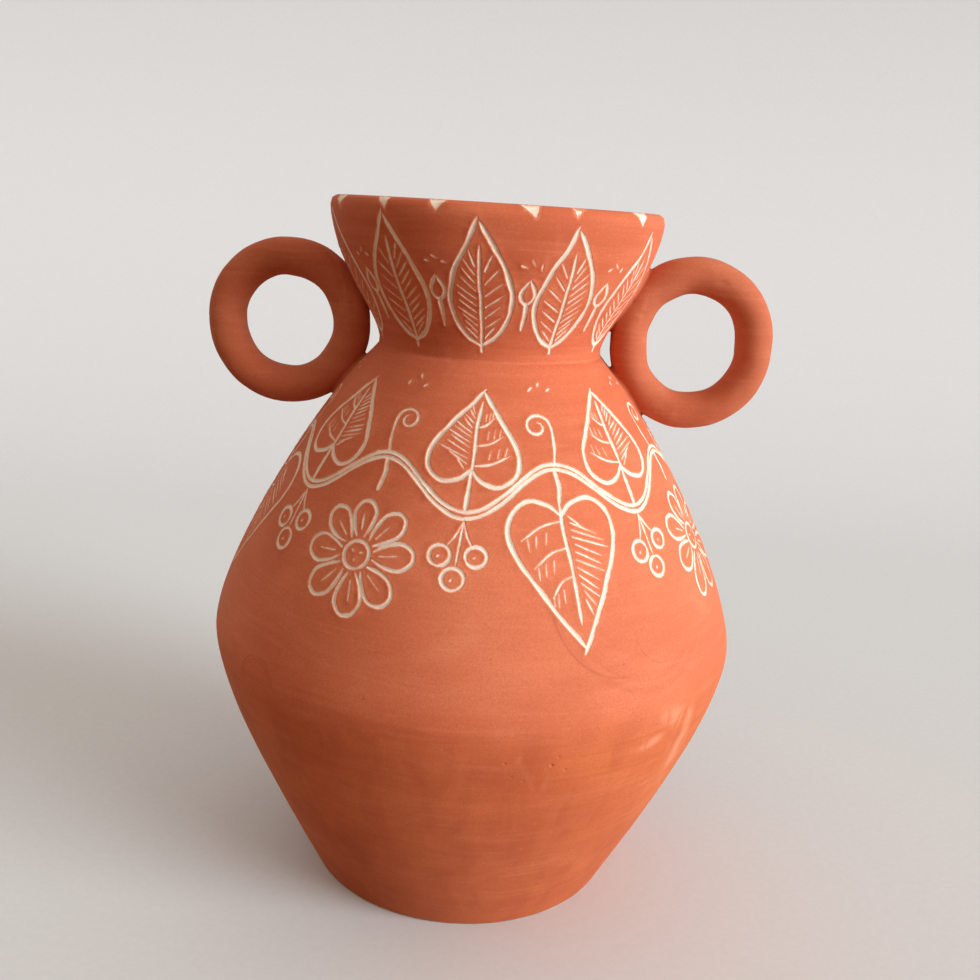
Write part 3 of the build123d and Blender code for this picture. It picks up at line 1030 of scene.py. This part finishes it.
@shader_group("Bare clay", dict(Place=VECTOR, Clay=COLOUR, Stain=COLOUR, Staining=FLOAT),
              dict(Colour=COLOUR, Roughness=FLOAT, Height=FLOAT))
def clay_group(n, given):
    """Bare clay: warm clouds, fine grog and drag marks of the tool."""
    place, stain = given["Place"], given["Stain"]
    patches = n.noise(place, 190, detail=3.0, distortion=0.8, move=(2, 8, 3))
    clouds = n.noise(place, 60, detail=3.0, distortion=0.4)
    grog = n.noise(place, 1700)
    drag = n.noise(place, (700, 700, 2300), turn=(0.4, 0.3, 0.0))
    colour = n.mix(n.times(n.ramp(patches, 0.50, 0.72), given["Staining"]), given["Clay"], stain)
    colour = n.mix(n.ramp(clouds, 0.4, 0.8, 0.0, 0.12), colour, stain)
    return {"Colour": n.mix(n.ramp(grog, 0.58, 0.80, 0.0, 0.20), colour, stain),
            "Roughness": n.ramp(grog, 0.2, 0.8, 0.74, 0.92),
            "Height": n.plus(n.times(grog, 0.6), n.times(drag, 0.5))}


@shader_group("Cut edge", dict(Place=VECTOR, Reach=FLOAT, Shallow=FLOAT, Raggedness=FLOAT),
              dict(Cut=FLOAT, Edge=FLOAT, Burr=FLOAT))
def cut_group(n, given):
    """Where the coat is cut through, with ragged edges, from the depth that the carving stores."""
    ragged = n.noise(given["Place"], 900, detail=3.0, rough=0.65)
    patch = n.noise(given["Place"], 240, move=(4, 4, 1))
    reach = n.plus(given["Reach"], n.times(n.maths("SUBTRACT", ragged, 0.5), given["Raggedness"]))
    missed = n.times(n.ramp(patch, 0.60, 0.40), given["Shallow"], 0.85)
    edge = n.times(n.ramp(reach, 1.02, 1.10), n.ramp(reach, 1.38, 1.14), n.ramp(patch, 0.42, 0.60))
    # Burr marks the band just outside each cut, which is tinted paler as a painted highlight on the raised burr
    return {"Cut": n.times(n.ramp(reach, 1.00, 1.13), n.maths("SUBTRACT", 1.0, missed)), "Edge": edge,
            "Burr": n.times(n.ramp(reach, 0.45, 0.85), n.ramp(reach, 1.12, 1.0))}


def coated_clay(n, place, colours, coat, banding, scuffs, upright=0.0, dust=0.0, marked=False, carved=False):
    """Slip-coated clay. Carved clay shows the pale body in its cuts, and the bowl's foot is bare underneath."""
    deep, pale, clay = (linear(c) for c in (colours.coat_deep, colours.coat_pale, colours.clay))
    level = n.upward(place)
    values = {"Place": place, "Coat": linear(coat), "Deep": deep, "Pale": pale, "Banding": banding,
              "Scuffs": scuffs, "Upright": upright, "Dust": 0.0, "Worn": 0.0, "Pooled": 0.0}
    if dust:
        # Dust and a painted sheen pale the slope above the belly joint, and upright strokes show below it
        waved = n.plus(level, n.times(n.noise(place, 20, detail=3.0), 16 * MM))
        below = n.ramp(waved, 128 * MM, 98 * MM)
        values["Dust"] = n.times(n.ramp(waved, 108 * MM, 132 * MM), n.ramp(waved, 205 * MM, 160 * MM, 0.35, 1.0),
                                 dust)
        values["Upright"] = n.times(below, upright)
        values["Coat"] = n.mix(below, linear(coat), linear(colours.coat_low))
    if marked:
        marks = n.group(marks_group(), {"Place": place})
        values.update({key: marks[key] for key in ("Worn", "Pooled")})
    slip = n.group(slip_group(), values)
    colour, rough, height = slip
    if carved or marked:
        bare_clay = n.group(clay_group(), {"Place": place, "Clay": clay, "Stain": linear(colours.clay_shade),
                                           "Staining": 0.35})
        if carved:
            cut = n.group(cut_group(), {"Place": place, "Reach": n.attribute("carve"),
                                        "Shallow": n.attribute("shallow"), "Raggedness": 0.5})
            bare = cut["Cut"]
            # Painted highlight: the burr beside each cut is tinted paler
            colour = n.mix(n.times(cut["Burr"], 0.35), colour, pale)
        else:
            ragged = n.times(n.noise(place, 120, detail=4.0), 1.6 * MM)
            bare = n.ramp(n.maths("SUBTRACT", level, ragged), 0.0, -0.9 * MM)
        colour = n.mix(bare, colour, bare_clay["Colour"])
        if carved:
            colour = n.mix(n.times(cut["Edge"], 0.75), colour, pale)
        rough = n.blend(bare, rough, bare_clay["Roughness"])
        height = n.blend(bare, height, bare_clay["Height"])
    return {"Base Color": colour, "Roughness": rough, "Specular IOR Level": 0.3, "Sheen Weight": 0.06,
            "Sheen Roughness": 0.5, "Sheen Tint": (1.0, 0.88, 0.78, 1.0), "Normal": n.bump(height, 0.7, 0.25 * MM)}


def coat_of(colours, part):
    """The coat of the bowl, the shoulder, the neck or the handles."""
    given = {"bowl": (colours.coat, 0.15, 0.2, 1.0, 0.24, True), "handles": (colours.handle, 0.1, 0.3),
             "shoulder": (colours.coat, 0.15, 0.2, 1.0, 0.24, True, True),
             "neck": (colours.coat, 0.65, 0.15, 0.0, 0.0, False, True)}
    return surface_of("slip_coat_" + part, coated_clay, colours, *given[part])


def glazed(n, place, colours):
    """Glossy pale glaze with pinholes, pooled thicker in the throwing rings."""
    pool = n.noise(place, (12, 12, 240), distortion=0.3)
    speckle = n.noise(place, 520)
    colour = n.mix(n.ramp(pool, 0.35, 0.75, 0.0, 0.35), linear(colours.glaze), linear(colours.clay_shade))
    return {"Base Color": n.mix(n.ramp(speckle, 0.68, 0.78, 0.0, 0.5), colour, linear(colours.coat_deep)),
            "Roughness": n.ramp(speckle, 0.3, 0.8, 0.16, 0.30), "Coat Weight": 0.5, "Coat Roughness": 0.08,
            "Normal": n.bump(n.plus(n.times(pool, 0.6), n.noise(place, 90)), 0.35, 0.3 * MM)}


def paper(n, place, colours):
    """Pale paper that throws back the warm light of a wooden table where it lies on the floor."""
    fibre = n.noise(place, 320, detail=3.0)
    shade = tuple(0.965 * c for c in colours.backdrop)
    seen = n.mix(n.ramp(fibre, 0.3, 0.7, 0, 0.35), linear(colours.backdrop), linear(shade))
    thrown = n.mix(n.ramp(n.upward(place), 0.0, 0.12), linear(colours.table), seen)
    return {"Base Color": n.mix(n.seen_rays(), thrown, seen), "Roughness": 0.9, "Specular IOR Level": 0.1,
            "Normal": n.bump(fibre, 0.1, 0.1 * MM)}


# ---------------------------------------------------------------- operators

class VASE_OT_lower_bowl(Operator):
    """Spin the lower bowl with its floor, foot and grooved top edge, then dent and pit its outside"""

    bl_idname = "vase.lower_bowl"
    bl_label = "Lower Bowl"

    def execute(self, context):
        shape = context.scene.vase_shape
        wall, inner = Wall(shape), inner_line(shape, 0)
        inside = between(inner, shape.floor_thickness, shape.belly_level, 3.5 * MM)[::-1]
        piece = spun("lower_bowl_visual", [(share * shape.foot_radius, 0) for share in (0, 0.35, 0.7)],
                     between(wall.line, 0, shape.belly_level), joint_line(shape, "belly", 0), inside,
                     (0.5 * inside[-1][0], shape.floor_thickness), (0, shape.floor_thickness))
        self.pit(piece, wall)
        finish_piece(piece, "lower_bowl", coat_of(context.scene.vase_colours, "bowl"), 50)
        return {"FINISHED"}

    # Angle from the front in degrees, height, radius and depth of small marks left in the slip
    PITS = ((20.1, 95.1, 0.95, 0.7), (23.0, 92.6, 0.8, 0.5), (21.2, 98.8, 0.7, 0.45), (11.0, 97.1, 0.7, 0.45),
            (12.6, 90.5, 0.6, 0.35), (15.0, 88.6, 0.7, 0.35), (152, 71.0, 0.8, 0.35), (158, 66.0, 0.6, 0.25),
            (-118, 52.0, 0.7, 0.3), (-34, 40.0, 0.6, 0.25))

    def pit(self, piece, wall):
        """Finer faces round each mark, then all the outside pressed to its hand-made form."""
        places = [(wall.surface(radians(angle), wall.rise_at(level * MM)), radius * MM, depth * MM)
                  for angle, level, radius, depth in self.PITS]
        for reach in (3.0, 1.8):
            centres = np.array([f.center for f in piece.data.polygons])
            near = [np.linalg.norm(centres - where, axis=1) < radius * reach + 0.4 * MM
                    for where, radius, _ in places]
            edit_chosen(piece, "FACE", np.any(near, axis=0))
            bpy.ops.mesh.subdivide(number_cuts=2, quadcorner="INNERVERT")
            leave_edit()
        points = coordinates(piece)
        x, y, level = points.T
        angle, rise = np.arctan2(x, -y), wall.rise_at(level)
        outside = (np.hypot(x, y) > wall.radius_at(rise) - 0.5 * MM) & (level > 1 * MM)
        lift = -sum(depth * np.exp(-(np.linalg.norm(points - where, axis=1) / (0.55 * size)) ** 2)
                    for where, size, depth in places)
        points[outside] = wall.surface(angle[outside], rise[outside], lift[outside])
        put_coordinates(piece, points)


def carved_piece(scene, node, coat, low, high, seed, draw, *inside):
    """The carved skin between two levels, closed by a spun inside, with its ends left sharp."""
    wall = Wall(scene.vase_shape)
    carver = Carver(wall, scene.vase_carving, low, high, seed)
    draw(carver, wall, scene.vase_shape)
    skin = carver.skin(node + "_visual")
    choose(spun(node + "_inside", *inside), skin)
    bpy.ops.object.join()
    finish_piece(closed(skin), node, coat_of(scene.vase_colours, coat), 62)


class VASE_OT_carved_shoulder(Operator):
    """Carve the ivy wreath into the shoulder's skin and close the section with its spun inside and joint faces"""

    bl_idname = "vase.carved_shoulder"
    bl_label = "Carved Shoulder"

    def execute(self, context):
        shape = context.scene.vase_shape
        low, high = shape.belly_level + shape.slip_layer, shape.waist_level
        line = outer_line(shape)
        carved_piece(context.scene, "upper_shoulder", "shoulder", low, high, 11, draw_shoulder,
                     point_at(line, low), joint_line(shape, "belly", shape.slip_layer),
                     between(inner_line(shape, 0), low, high, 3.5 * MM), joint_line(shape, "waist", 0)[::-1],
                     point_at(line, high))
        return {"FINISHED"}


class VASE_OT_carved_neck(Operator):
    """Carve the upright leaves and the rim nicks into the neck's skin and close it with its rim and its inside"""

    bl_idname = "vase.carved_neck"
    bl_label = "Carved Neck"

    def execute(self, context):
        shape = context.scene.vase_shape
        low, high = shape.waist_level + shape.slip_layer, shape.rim_level
        line, inside = outer_line(shape), inner_line(shape, 0)
        inside = inside[inside[:, 1] > shape.waist_level]
        inside = chain(inside, (inside[-1][0], high))
        lip = rounded(chain(line[-1], inside[-1]), inside[::-1], 0.35 * shape.waist_wall, -1)
        lip = thinned(chain(lip[lip[:, 1] > low], point_at(inside, low)), SPACING)
        carved_piece(context.scene, "neck_collar", "neck", low, high, 23, draw_neck,
                     lip, joint_line(shape, "waist", shape.slip_layer)[::-1], point_at(line, low))
        return {"FINISHED"}


class VASE_OT_joint_slips(Operator):
    """Spin the two rings of joining slip that fill the grooves between the sections"""

    bl_idname = "vase.joint_slips"
    bl_label = "Joint Slips"

    def execute(self, context):
        shape = context.scene.vase_shape
        for joint, level in (("belly", shape.belly_level), ("waist", shape.waist_level)):
            outside, inside = (between(line, level, level + shape.slip_layer, 0.2 * MM)
                               for line in (outer_line(shape), inner_line(shape, 0)))
            node = joint + "_joint_slip"
            piece = spun(node + "_visual", outside, joint_line(shape, joint, shape.slip_layer), inside[::-1],
                         joint_line(shape, joint, 0)[::-1], outside[0])
            finish_piece(piece, node, coat_of(context.scene.vase_colours, "bowl"), 40)
        return {"FINISHED"}


class Ring:
    """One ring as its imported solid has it, side -1 on the left and 1 on the right."""

    def __init__(self, scene, side):
        self.side, self.word = side, "right" if side > 0 else "left"
        low, high = lowest(self.word + "_ring_handle"), highest(self.word + "_ring_handle")
        self.straight = getattr(scene.vase_handles, self.word + "_straight")
        self.tube, self.level = (high.y - low.y) / 2, (high.z + low.z) / 2
        self.radius = (high.z - low.z) / 2 - self.tube - self.straight / 2
        self.centre = (high.x if side > 0 else -low.x) - self.radius - self.tube

    def near(self, point):
        """Distance of a point from the ring's surface, and the ring's normal there."""
        flat = Vector((self.side * point.x - self.centre, 0, point.z - self.level))
        core = Vector((0, 0, max(-self.straight / 2, min(self.straight / 2, flat.z))))
        middle = core + (flat - core).normalized() * self.radius
        out = point - Vector((self.side * (middle.x + self.centre), 0, middle.z + self.level))
        return out.length - self.tube, out.normalized()


class VASE_OT_ring_handles(Operator):
    """Model the two hand-rolled rings and cut each one to the neck and the shoulder that it rests on"""

    bl_idname = "vase.ring_handles"
    bl_label = "Ring Handles"

    def execute(self, context):
        scene, inset = context.scene, 0.35 * MM
        rim_level = scene.vase_shape.rim_level
        outside = between(outer_line(scene.vase_shape), 0, rim_level, 2.5 * MM)
        outside[:, 0] = np.maximum(outside[:, 0] - inset, inset)
        saddle = spun("saddle_cutter", (0, inset), outside, (0, rim_level))
        for side in (-1, 1):
            ring = Ring(scene, side)
            piece = self.rolled(ring, scene.vase_handles.rolling)
            cut = piece.modifiers.new("saddle", "BOOLEAN")
            cut.operation, cut.solver, cut.object = "DIFFERENCE", "EXACT", saddle
            choose(piece)
            bpy.ops.object.modifier_apply(modifier=cut.name)
            finish_piece(closed(piece), ring.word + "_ring_handle",
                         coat_of(scene.vase_colours, "handles"), 45)
        bpy.data.objects.remove(saddle)
        return {"FINISHED"}

    # Small dents of the fingers and the tool: place round the ring and round the tube in degrees (0 outermost,
    # 90 in front), size along X, Y and Z, and depth
    DENTS = {
        -1: ((38, 60, (2.6, 3, 1.2), 0.30), (255, 70, (3.5, 3, 1.6), 0.22), (160, 110, (1.6, 2, 3.0), 0.25),
             (90, 20, (5, 4, 2.4), 0.28), (300, 250, (2.4, 3, 2), 0.3)),
        1: ((70, 75, (2.2, 2, 0.9), 0.40), (152, 95, (1.9, 2, 0.8), 0.45), (128, 60, (4, 3, 1.6), 0.25),
            (250, 80, (3.0, 2, 1.4), 0.30), (205, 130, (1.6, 2, 3.2), 0.28), (20, 230, (2, 3, 3), 0.3)),
    }

    # Places round the hole, in degrees from outermost, where the bent roll left a soft corner
    CORNERS = {-1: (15, 80, 128, 190, 245, 305), 1: (44, 97, 134, 173, 212, 252, 298, 348)}

    def rolled(self, ring, deep):
        choose()
        bpy.ops.mesh.primitive_torus_add(major_radius=ring.radius, minor_radius=ring.tube, major_segments=200,
                                         minor_segments=64, rotation=(pi / 2, 0, 0), location=(0, 0, 0))
        piece = named(ring.word + "_ring_handle_visual")
        bpy.ops.object.transform_apply(location=True, rotation=True, scale=True)
        for way in (-1, 1):
            edit_chosen(piece, "VERT", coordinates(piece)[:, 2] * way > 1e-6)
            bpy.ops.transform.translate(value=(0, 0, way * ring.straight / 2))
            leave_edit()
        points = coordinates(piece) + (ring.side * ring.centre, 0, ring.level)
        put_coordinates(piece, self.hand_rolled(points, ring, deep))
        return piece

    def corner(self, bend, side):
        """1 at a corner of the hole and 0 halfway between two corners."""
        places, bend = self.CORNERS[side], bend % 360
        places = (places[-1] - 360,) + places + (places[0] + 360,)
        first, second = next(pair for pair in zip(places, places[1:]) if pair[0] <= bend <= pair[1])
        half = radians(second - first) / 2
        return 0.5 - 0.5 * cos(pi * abs(radians(bend) - radians(first) - half) / half)

    def hand_rolled(self, points, ring, deep):
        """Flats and hollows of a roll of clay that was bent by hand, none of them outside the true tube."""
        side, result = ring.side, points.copy()
        for i, p in enumerate(points):
            out = ring.near(Vector(p))[1]
            bend = atan2(p[2] - ring.level, side * p[0] - ring.centre)
            soft = noise.noise(Vector((1.6 * cos(bend), 1.6 * sin(bend), 3.0 * side)) + 0.9 * out)
            flat = noise.noise(Vector(p) / (11 * MM) + Vector((0, 7 * side, 0)))
            fine = noise.noise(Vector(p) / (3.4 * MM))
            inward = max(-(out[0] * side * cos(bend) + out[2] * sin(bend)), 0)
            share = 0.36 + 0.36 * soft + 0.34 * flat + 0.07 * fine
            share += (0.5 if side > 0 else 0.28) * inward * self.corner(degrees(bend), side)
            result[i] = p - np.array(out) * deep * min(max(share, 0), 1)
        for turn, tilt, size, depth in self.DENTS[side]:
            bend, tilt = radians(turn), radians(tilt)
            reach = ring.radius + ring.tube * cos(tilt)
            where = np.array([side * (ring.centre + reach * cos(bend)), -ring.tube * sin(tilt),
                              ring.level + reach * sin(bend)])
            away = np.linalg.norm((result - where) / np.array(size) / MM, axis=1)
            near = away < 3
            outs = np.array([ring.near(Vector(p))[1] for p in result[near]])
            result[near] -= outs * (depth * MM * np.exp(-away[near] ** 2))[:, None]
        return result


class VASE_OT_luting(Operator):
    """Fill the notch round each place where a ring meets the wall with clay pressed into a hollow collar"""

    bl_idname = "vase.luting"
    bl_label = "Luting"

    # Sections round a collar, steps across each section's hollow, the farthest that a section can lie from the
    # collar's middle, and how deep its edges and its back are sunk into the clay that it joins
    TURNS, ACROSS, FARTHEST, SUNK, BACK = 96, 8, 16 * MM, 0.12 * MM, 0.5 * MM

    def execute(self, context):
        scene = context.scene
        shape = scene.vase_shape
        wall = Wall(shape)

        def tree_of(node):
            return BVHTree.FromObject(bpy.data.objects[node + "_visual"], context.evaluated_depsgraph_get())

        for ring in (Ring(scene, -1), Ring(scene, 1)):
            ring_tree = tree_of(ring.word + "_ring_handle")
            for part, low, high, section in (("upper", shape.waist_level, shape.rim_level, "neck_collar"),
                                             ("lower", shape.belly_level, shape.waist_level, "upper_shoulder")):
                node = f"{ring.word}_{part}_luting"
                piece = self.collar(node + "_visual", wall, ring, low, high, tree_of(section), ring_tree,
                                    scene.vase_handles.luting_reach)
                finish_piece(piece, node, coat_of(scene.vase_colours, "handles"), 70)
        return {"FINISHED"}

    def collar(self, name, wall, ring, low, high, wall_tree, ring_tree, reach):
        """A closed band of clay along the curve where the ring's surface meets the wall's."""
        facing = pi / 2 * ring.side

        def on_wall(angle, rise):
            return Vector(wall.surface(angle, rise))

        rises = np.linspace(wall.rise_at(low), wall.rise_at(high), 300)
        middle = min(rises, key=lambda rise: ring.near(on_wall(facing, rise))[0])
        radius = wall.radius_at(middle)
        verts = []
        for turn in (2 * pi * k / self.TURNS for k in range(self.TURNS)):
            near, far = 0.0, self.FARTHEST
            for _ in range(28):
                step = (near + far) / 2
                angle, rise = facing + step * cos(turn) / radius, middle + step * sin(turn) * ROLL_RADIUS / radius
                corner = on_wall(angle, rise)
                ring_depth, ring_out = ring.near(corner)
                near, far = (step, far) if ring_depth < 0 else (near, step)
            out, up = wall.read(wall.normal, rise)
            wall_out = Vector((out * sin(angle), -out * cos(angle), up))
            between_them = (wall_out + ring_out).normalized()
            wander = noise.noise(Vector((3 * cos(turn), 3 * sin(turn), 2.0 * ring.side + middle * 40)))
            centre = corner + between_them * (reach * (1 + 0.22 * wander))
            to_foot, to_head = (tree.find_nearest(centre)[0] - centre for tree in (wall_tree, ring_tree))
            shares = [j / self.ACROSS for j in range(self.ACROSS + 1)]
            section = [centre + to_foot.normalized().slerp(to_head.normalized(), share)
                       * (to_foot.length * (1 - share) + to_head.length * share) for share in shares]
            section[0] -= wall_out * self.SUNK
            section[-1] -= ring_out * self.SUNK
            verts += section + [corner - between_them * self.BACK]
        count = self.ACROSS + 2
        around = ((0, 0), (0, 1), (1, 1), (1, 0))
        faces = [[(k + turn) % self.TURNS * count + (j + step) % count for turn, step in around]
                 for k in range(self.TURNS) for j in range(count)]
        mesh = bpy.data.meshes.new(name)
        mesh.from_pydata(verts, [], faces)
        return closed(linked(name, mesh))


class VASE_OT_glaze_liner(Operator):
    """Spin the glaze inside, with the throwing rings that show through it and a soft line below the rim"""

    bl_idname = "vase.glaze_liner"
    bl_label = "Glaze Liner"

    def execute(self, context):
        shape = context.scene.vase_shape
        top, depth = shape.rim_level - shape.glaze_line, 0.12 * MM
        lines = []
        for layer in (0.02 * MM, shape.glaze):
            line = inner_line(shape, layer)
            lines.append(thinned(chain(line[line[:, 1] < top - 1e-6], point_at(line, top)), 1.6 * MM))
        outer, inner = lines
        ripple = depth * np.sin(2 * pi * inner[:, 1] / (6.5 * MM)) * np.clip(inner[:, 0] / (60 * MM), 0, 1)
        inner[:, 0] += (ripple - depth) * (inner[:, 1] > 30 * MM)
        inner[-1, 1] -= 0.5 * MM
        piece = spun("glaze_liner_visual", outer, (outer[-1] + inner[-1]) / 2 + (0, 0.25 * MM), inner[::-1])
        colours = context.scene.vase_colours
        finish_piece(piece, "glaze_liner", surface_of("inside_glaze", glazed, colours), 60)
        return {"FINISHED"}


class VASE_OT_studio(Operator):
    """Set the pale floor and backdrop, the soft lamps and the camera at the photograph's angle"""

    bl_idname = "vase.studio"
    bl_label = "Studio"

    def execute(self, context):
        scene = context.scene
        scene.view_settings.view_transform = "Standard"
        self.backdrop(scene)
        self.lamps(scene)
        self.camera(scene)
        return {"FINISHED"}

    def backdrop(self, scene):
        """A sheet that lies on the floor and curves up behind the vase."""
        half, edge, tall, bend = 2.4, 0.5, 2.4, 0.85
        choose()
        bpy.ops.mesh.primitive_plane_add(size=2 * half, location=(0, edge - half, 0))
        sheet = named("backdrop")
        bpy.ops.object.transform_apply(location=True)
        verts = sheet.data.vertices
        edit_chosen(sheet, "EDGE", [all(abs(verts[v].co.y - edge) < 1e-4 for v in e.vertices)
                                    for e in sheet.data.edges])
        bpy.ops.mesh.spin(steps=32, angle=-pi / 2, center=(0, edge, bend), axis=(1, 0, 0))
        bpy.ops.mesh.extrude_edges_move(TRANSFORM_OT_translate={"value": (0, 0, tall)})
        bpy.ops.mesh.select_mode(type="VERT")
        bpy.ops.mesh.select_all(action="SELECT")
        bpy.ops.mesh.remove_doubles(threshold=1e-5)
        leave_edit()
        smooth(sheet, 60)
        sheet.data.materials.append(surface_of("paper_backdrop", paper, scene.vase_colours))

    def lamps(self, scene):
        """A low, wide sun behind the camera's right, and a room whose ceiling gives more light than its walls."""
        lamp = bpy.data.lights.new("window", "SUN")
        lamp.energy, lamp.angle = 3.9, radians(34)
        turn, rise = radians(68), radians(12)
        towards = Vector((-sin(turn) * cos(rise), cos(turn) * cos(rise), -sin(rise)))
        linked("window", lamp).rotation_euler = towards.to_track_quat("-Z", "Y").to_euler()
        scene.world = bpy.data.worlds.new("soft_room")
        scene.world.use_nodes = True
        n = Nodes(scene.world.node_tree)
        sky = next(node for node in n.tree.nodes if node.type == "BACKGROUND")
        up = n.upward(n.add("TexCoord")["Generated"])
        given = n.mix(n.ramp(up, 0.1, 0.8), (0.24, 0.175, 0.12, 1), (0.78, 0.61, 0.49, 1))
        # A ray that sees the room finds it plain and pale
        n.feed(sky.inputs, {"Color": n.mix(n.seen_rays(), given, (0.62, 0.62, 0.61, 1))})

    def camera(self, scene):
        """Stand point, tilt and lens found from the photograph's outlines."""
        pitch, yaw, roll = radians(14.78), radians(-3.04), radians(3.67)
        forward = Vector((sin(yaw) * cos(pitch), cos(yaw) * cos(pitch), -sin(pitch)))
        level = Vector((cos(yaw), -sin(yaw), 0))
        upward = level.cross(forward)
        right = cos(roll) * level + sin(roll) * upward
        up = -sin(roll) * level + cos(roll) * upward
        data = bpy.data.cameras.new("camera")
        # The photograph is 980 pixels wide, and the focal length found is 1037 of them
        data.sensor_width, data.lens = 36.0, 36.0 * 1037 / 980
        data.clip_start, data.clip_end = 0.01, 20
        turned = Matrix((right, up, -forward)).transposed().to_4x4()
        scene.camera = linked("camera", data)
        scene.camera.matrix_world = Matrix.Translation((0.0268, -0.4312, 0.2805)) @ turned


STEPS = (VASE_OT_studio, VASE_OT_lower_bowl, VASE_OT_carved_shoulder, VASE_OT_carved_neck, VASE_OT_joint_slips,
         VASE_OT_ring_handles, VASE_OT_luting, VASE_OT_glaze_liner)
PROPERTIES = {"vase_shape": VaseShape, "vase_handles": HandleShape, "vase_carving": CarvingShape,
              "vase_colours": VaseColours}


class VASE_PT_panel(Panel):
    """Sizes, colours and steps of the vase"""

    bl_idname = "VASE_PT_panel"
    bl_label = "Clay Vase"
    bl_space_type = "VIEW_3D"
    bl_region_type = "UI"
    bl_category = "Clay Vase"

    def draw(self, context):
        for holder in PROPERTIES:
            group, box = getattr(context.scene, holder), self.layout.box()
            for key in group.__annotations__:
                box.prop(group, key)
        for step in STEPS:
            self.layout.operator(step.bl_idname)


def register():
    for holder, group in PROPERTIES.items():
        bpy.utils.register_class(group)
        setattr(bpy.types.Scene, holder, PointerProperty(type=group))
    for cls in STEPS + (VASE_PT_panel,):
        bpy.utils.register_class(cls)


def unregister():
    for cls in (VASE_PT_panel,) + STEPS[::-1]:
        bpy.utils.unregister_class(cls)
    for holder, group in PROPERTIES.items():
        delattr(bpy.types.Scene, holder)
        bpy.utils.unregister_class(group)


def main():
    register()
    bpy.ops.vase.studio()
    bpy.ops.vase.lower_bowl()
    bpy.ops.vase.carved_shoulder()
    bpy.ops.vase.carved_neck()
    bpy.ops.vase.joint_slips()
    bpy.ops.vase.ring_handles()
    bpy.ops.vase.luting()
    bpy.ops.vase.glaze_liner()


if __name__ == "__main__":
    main()
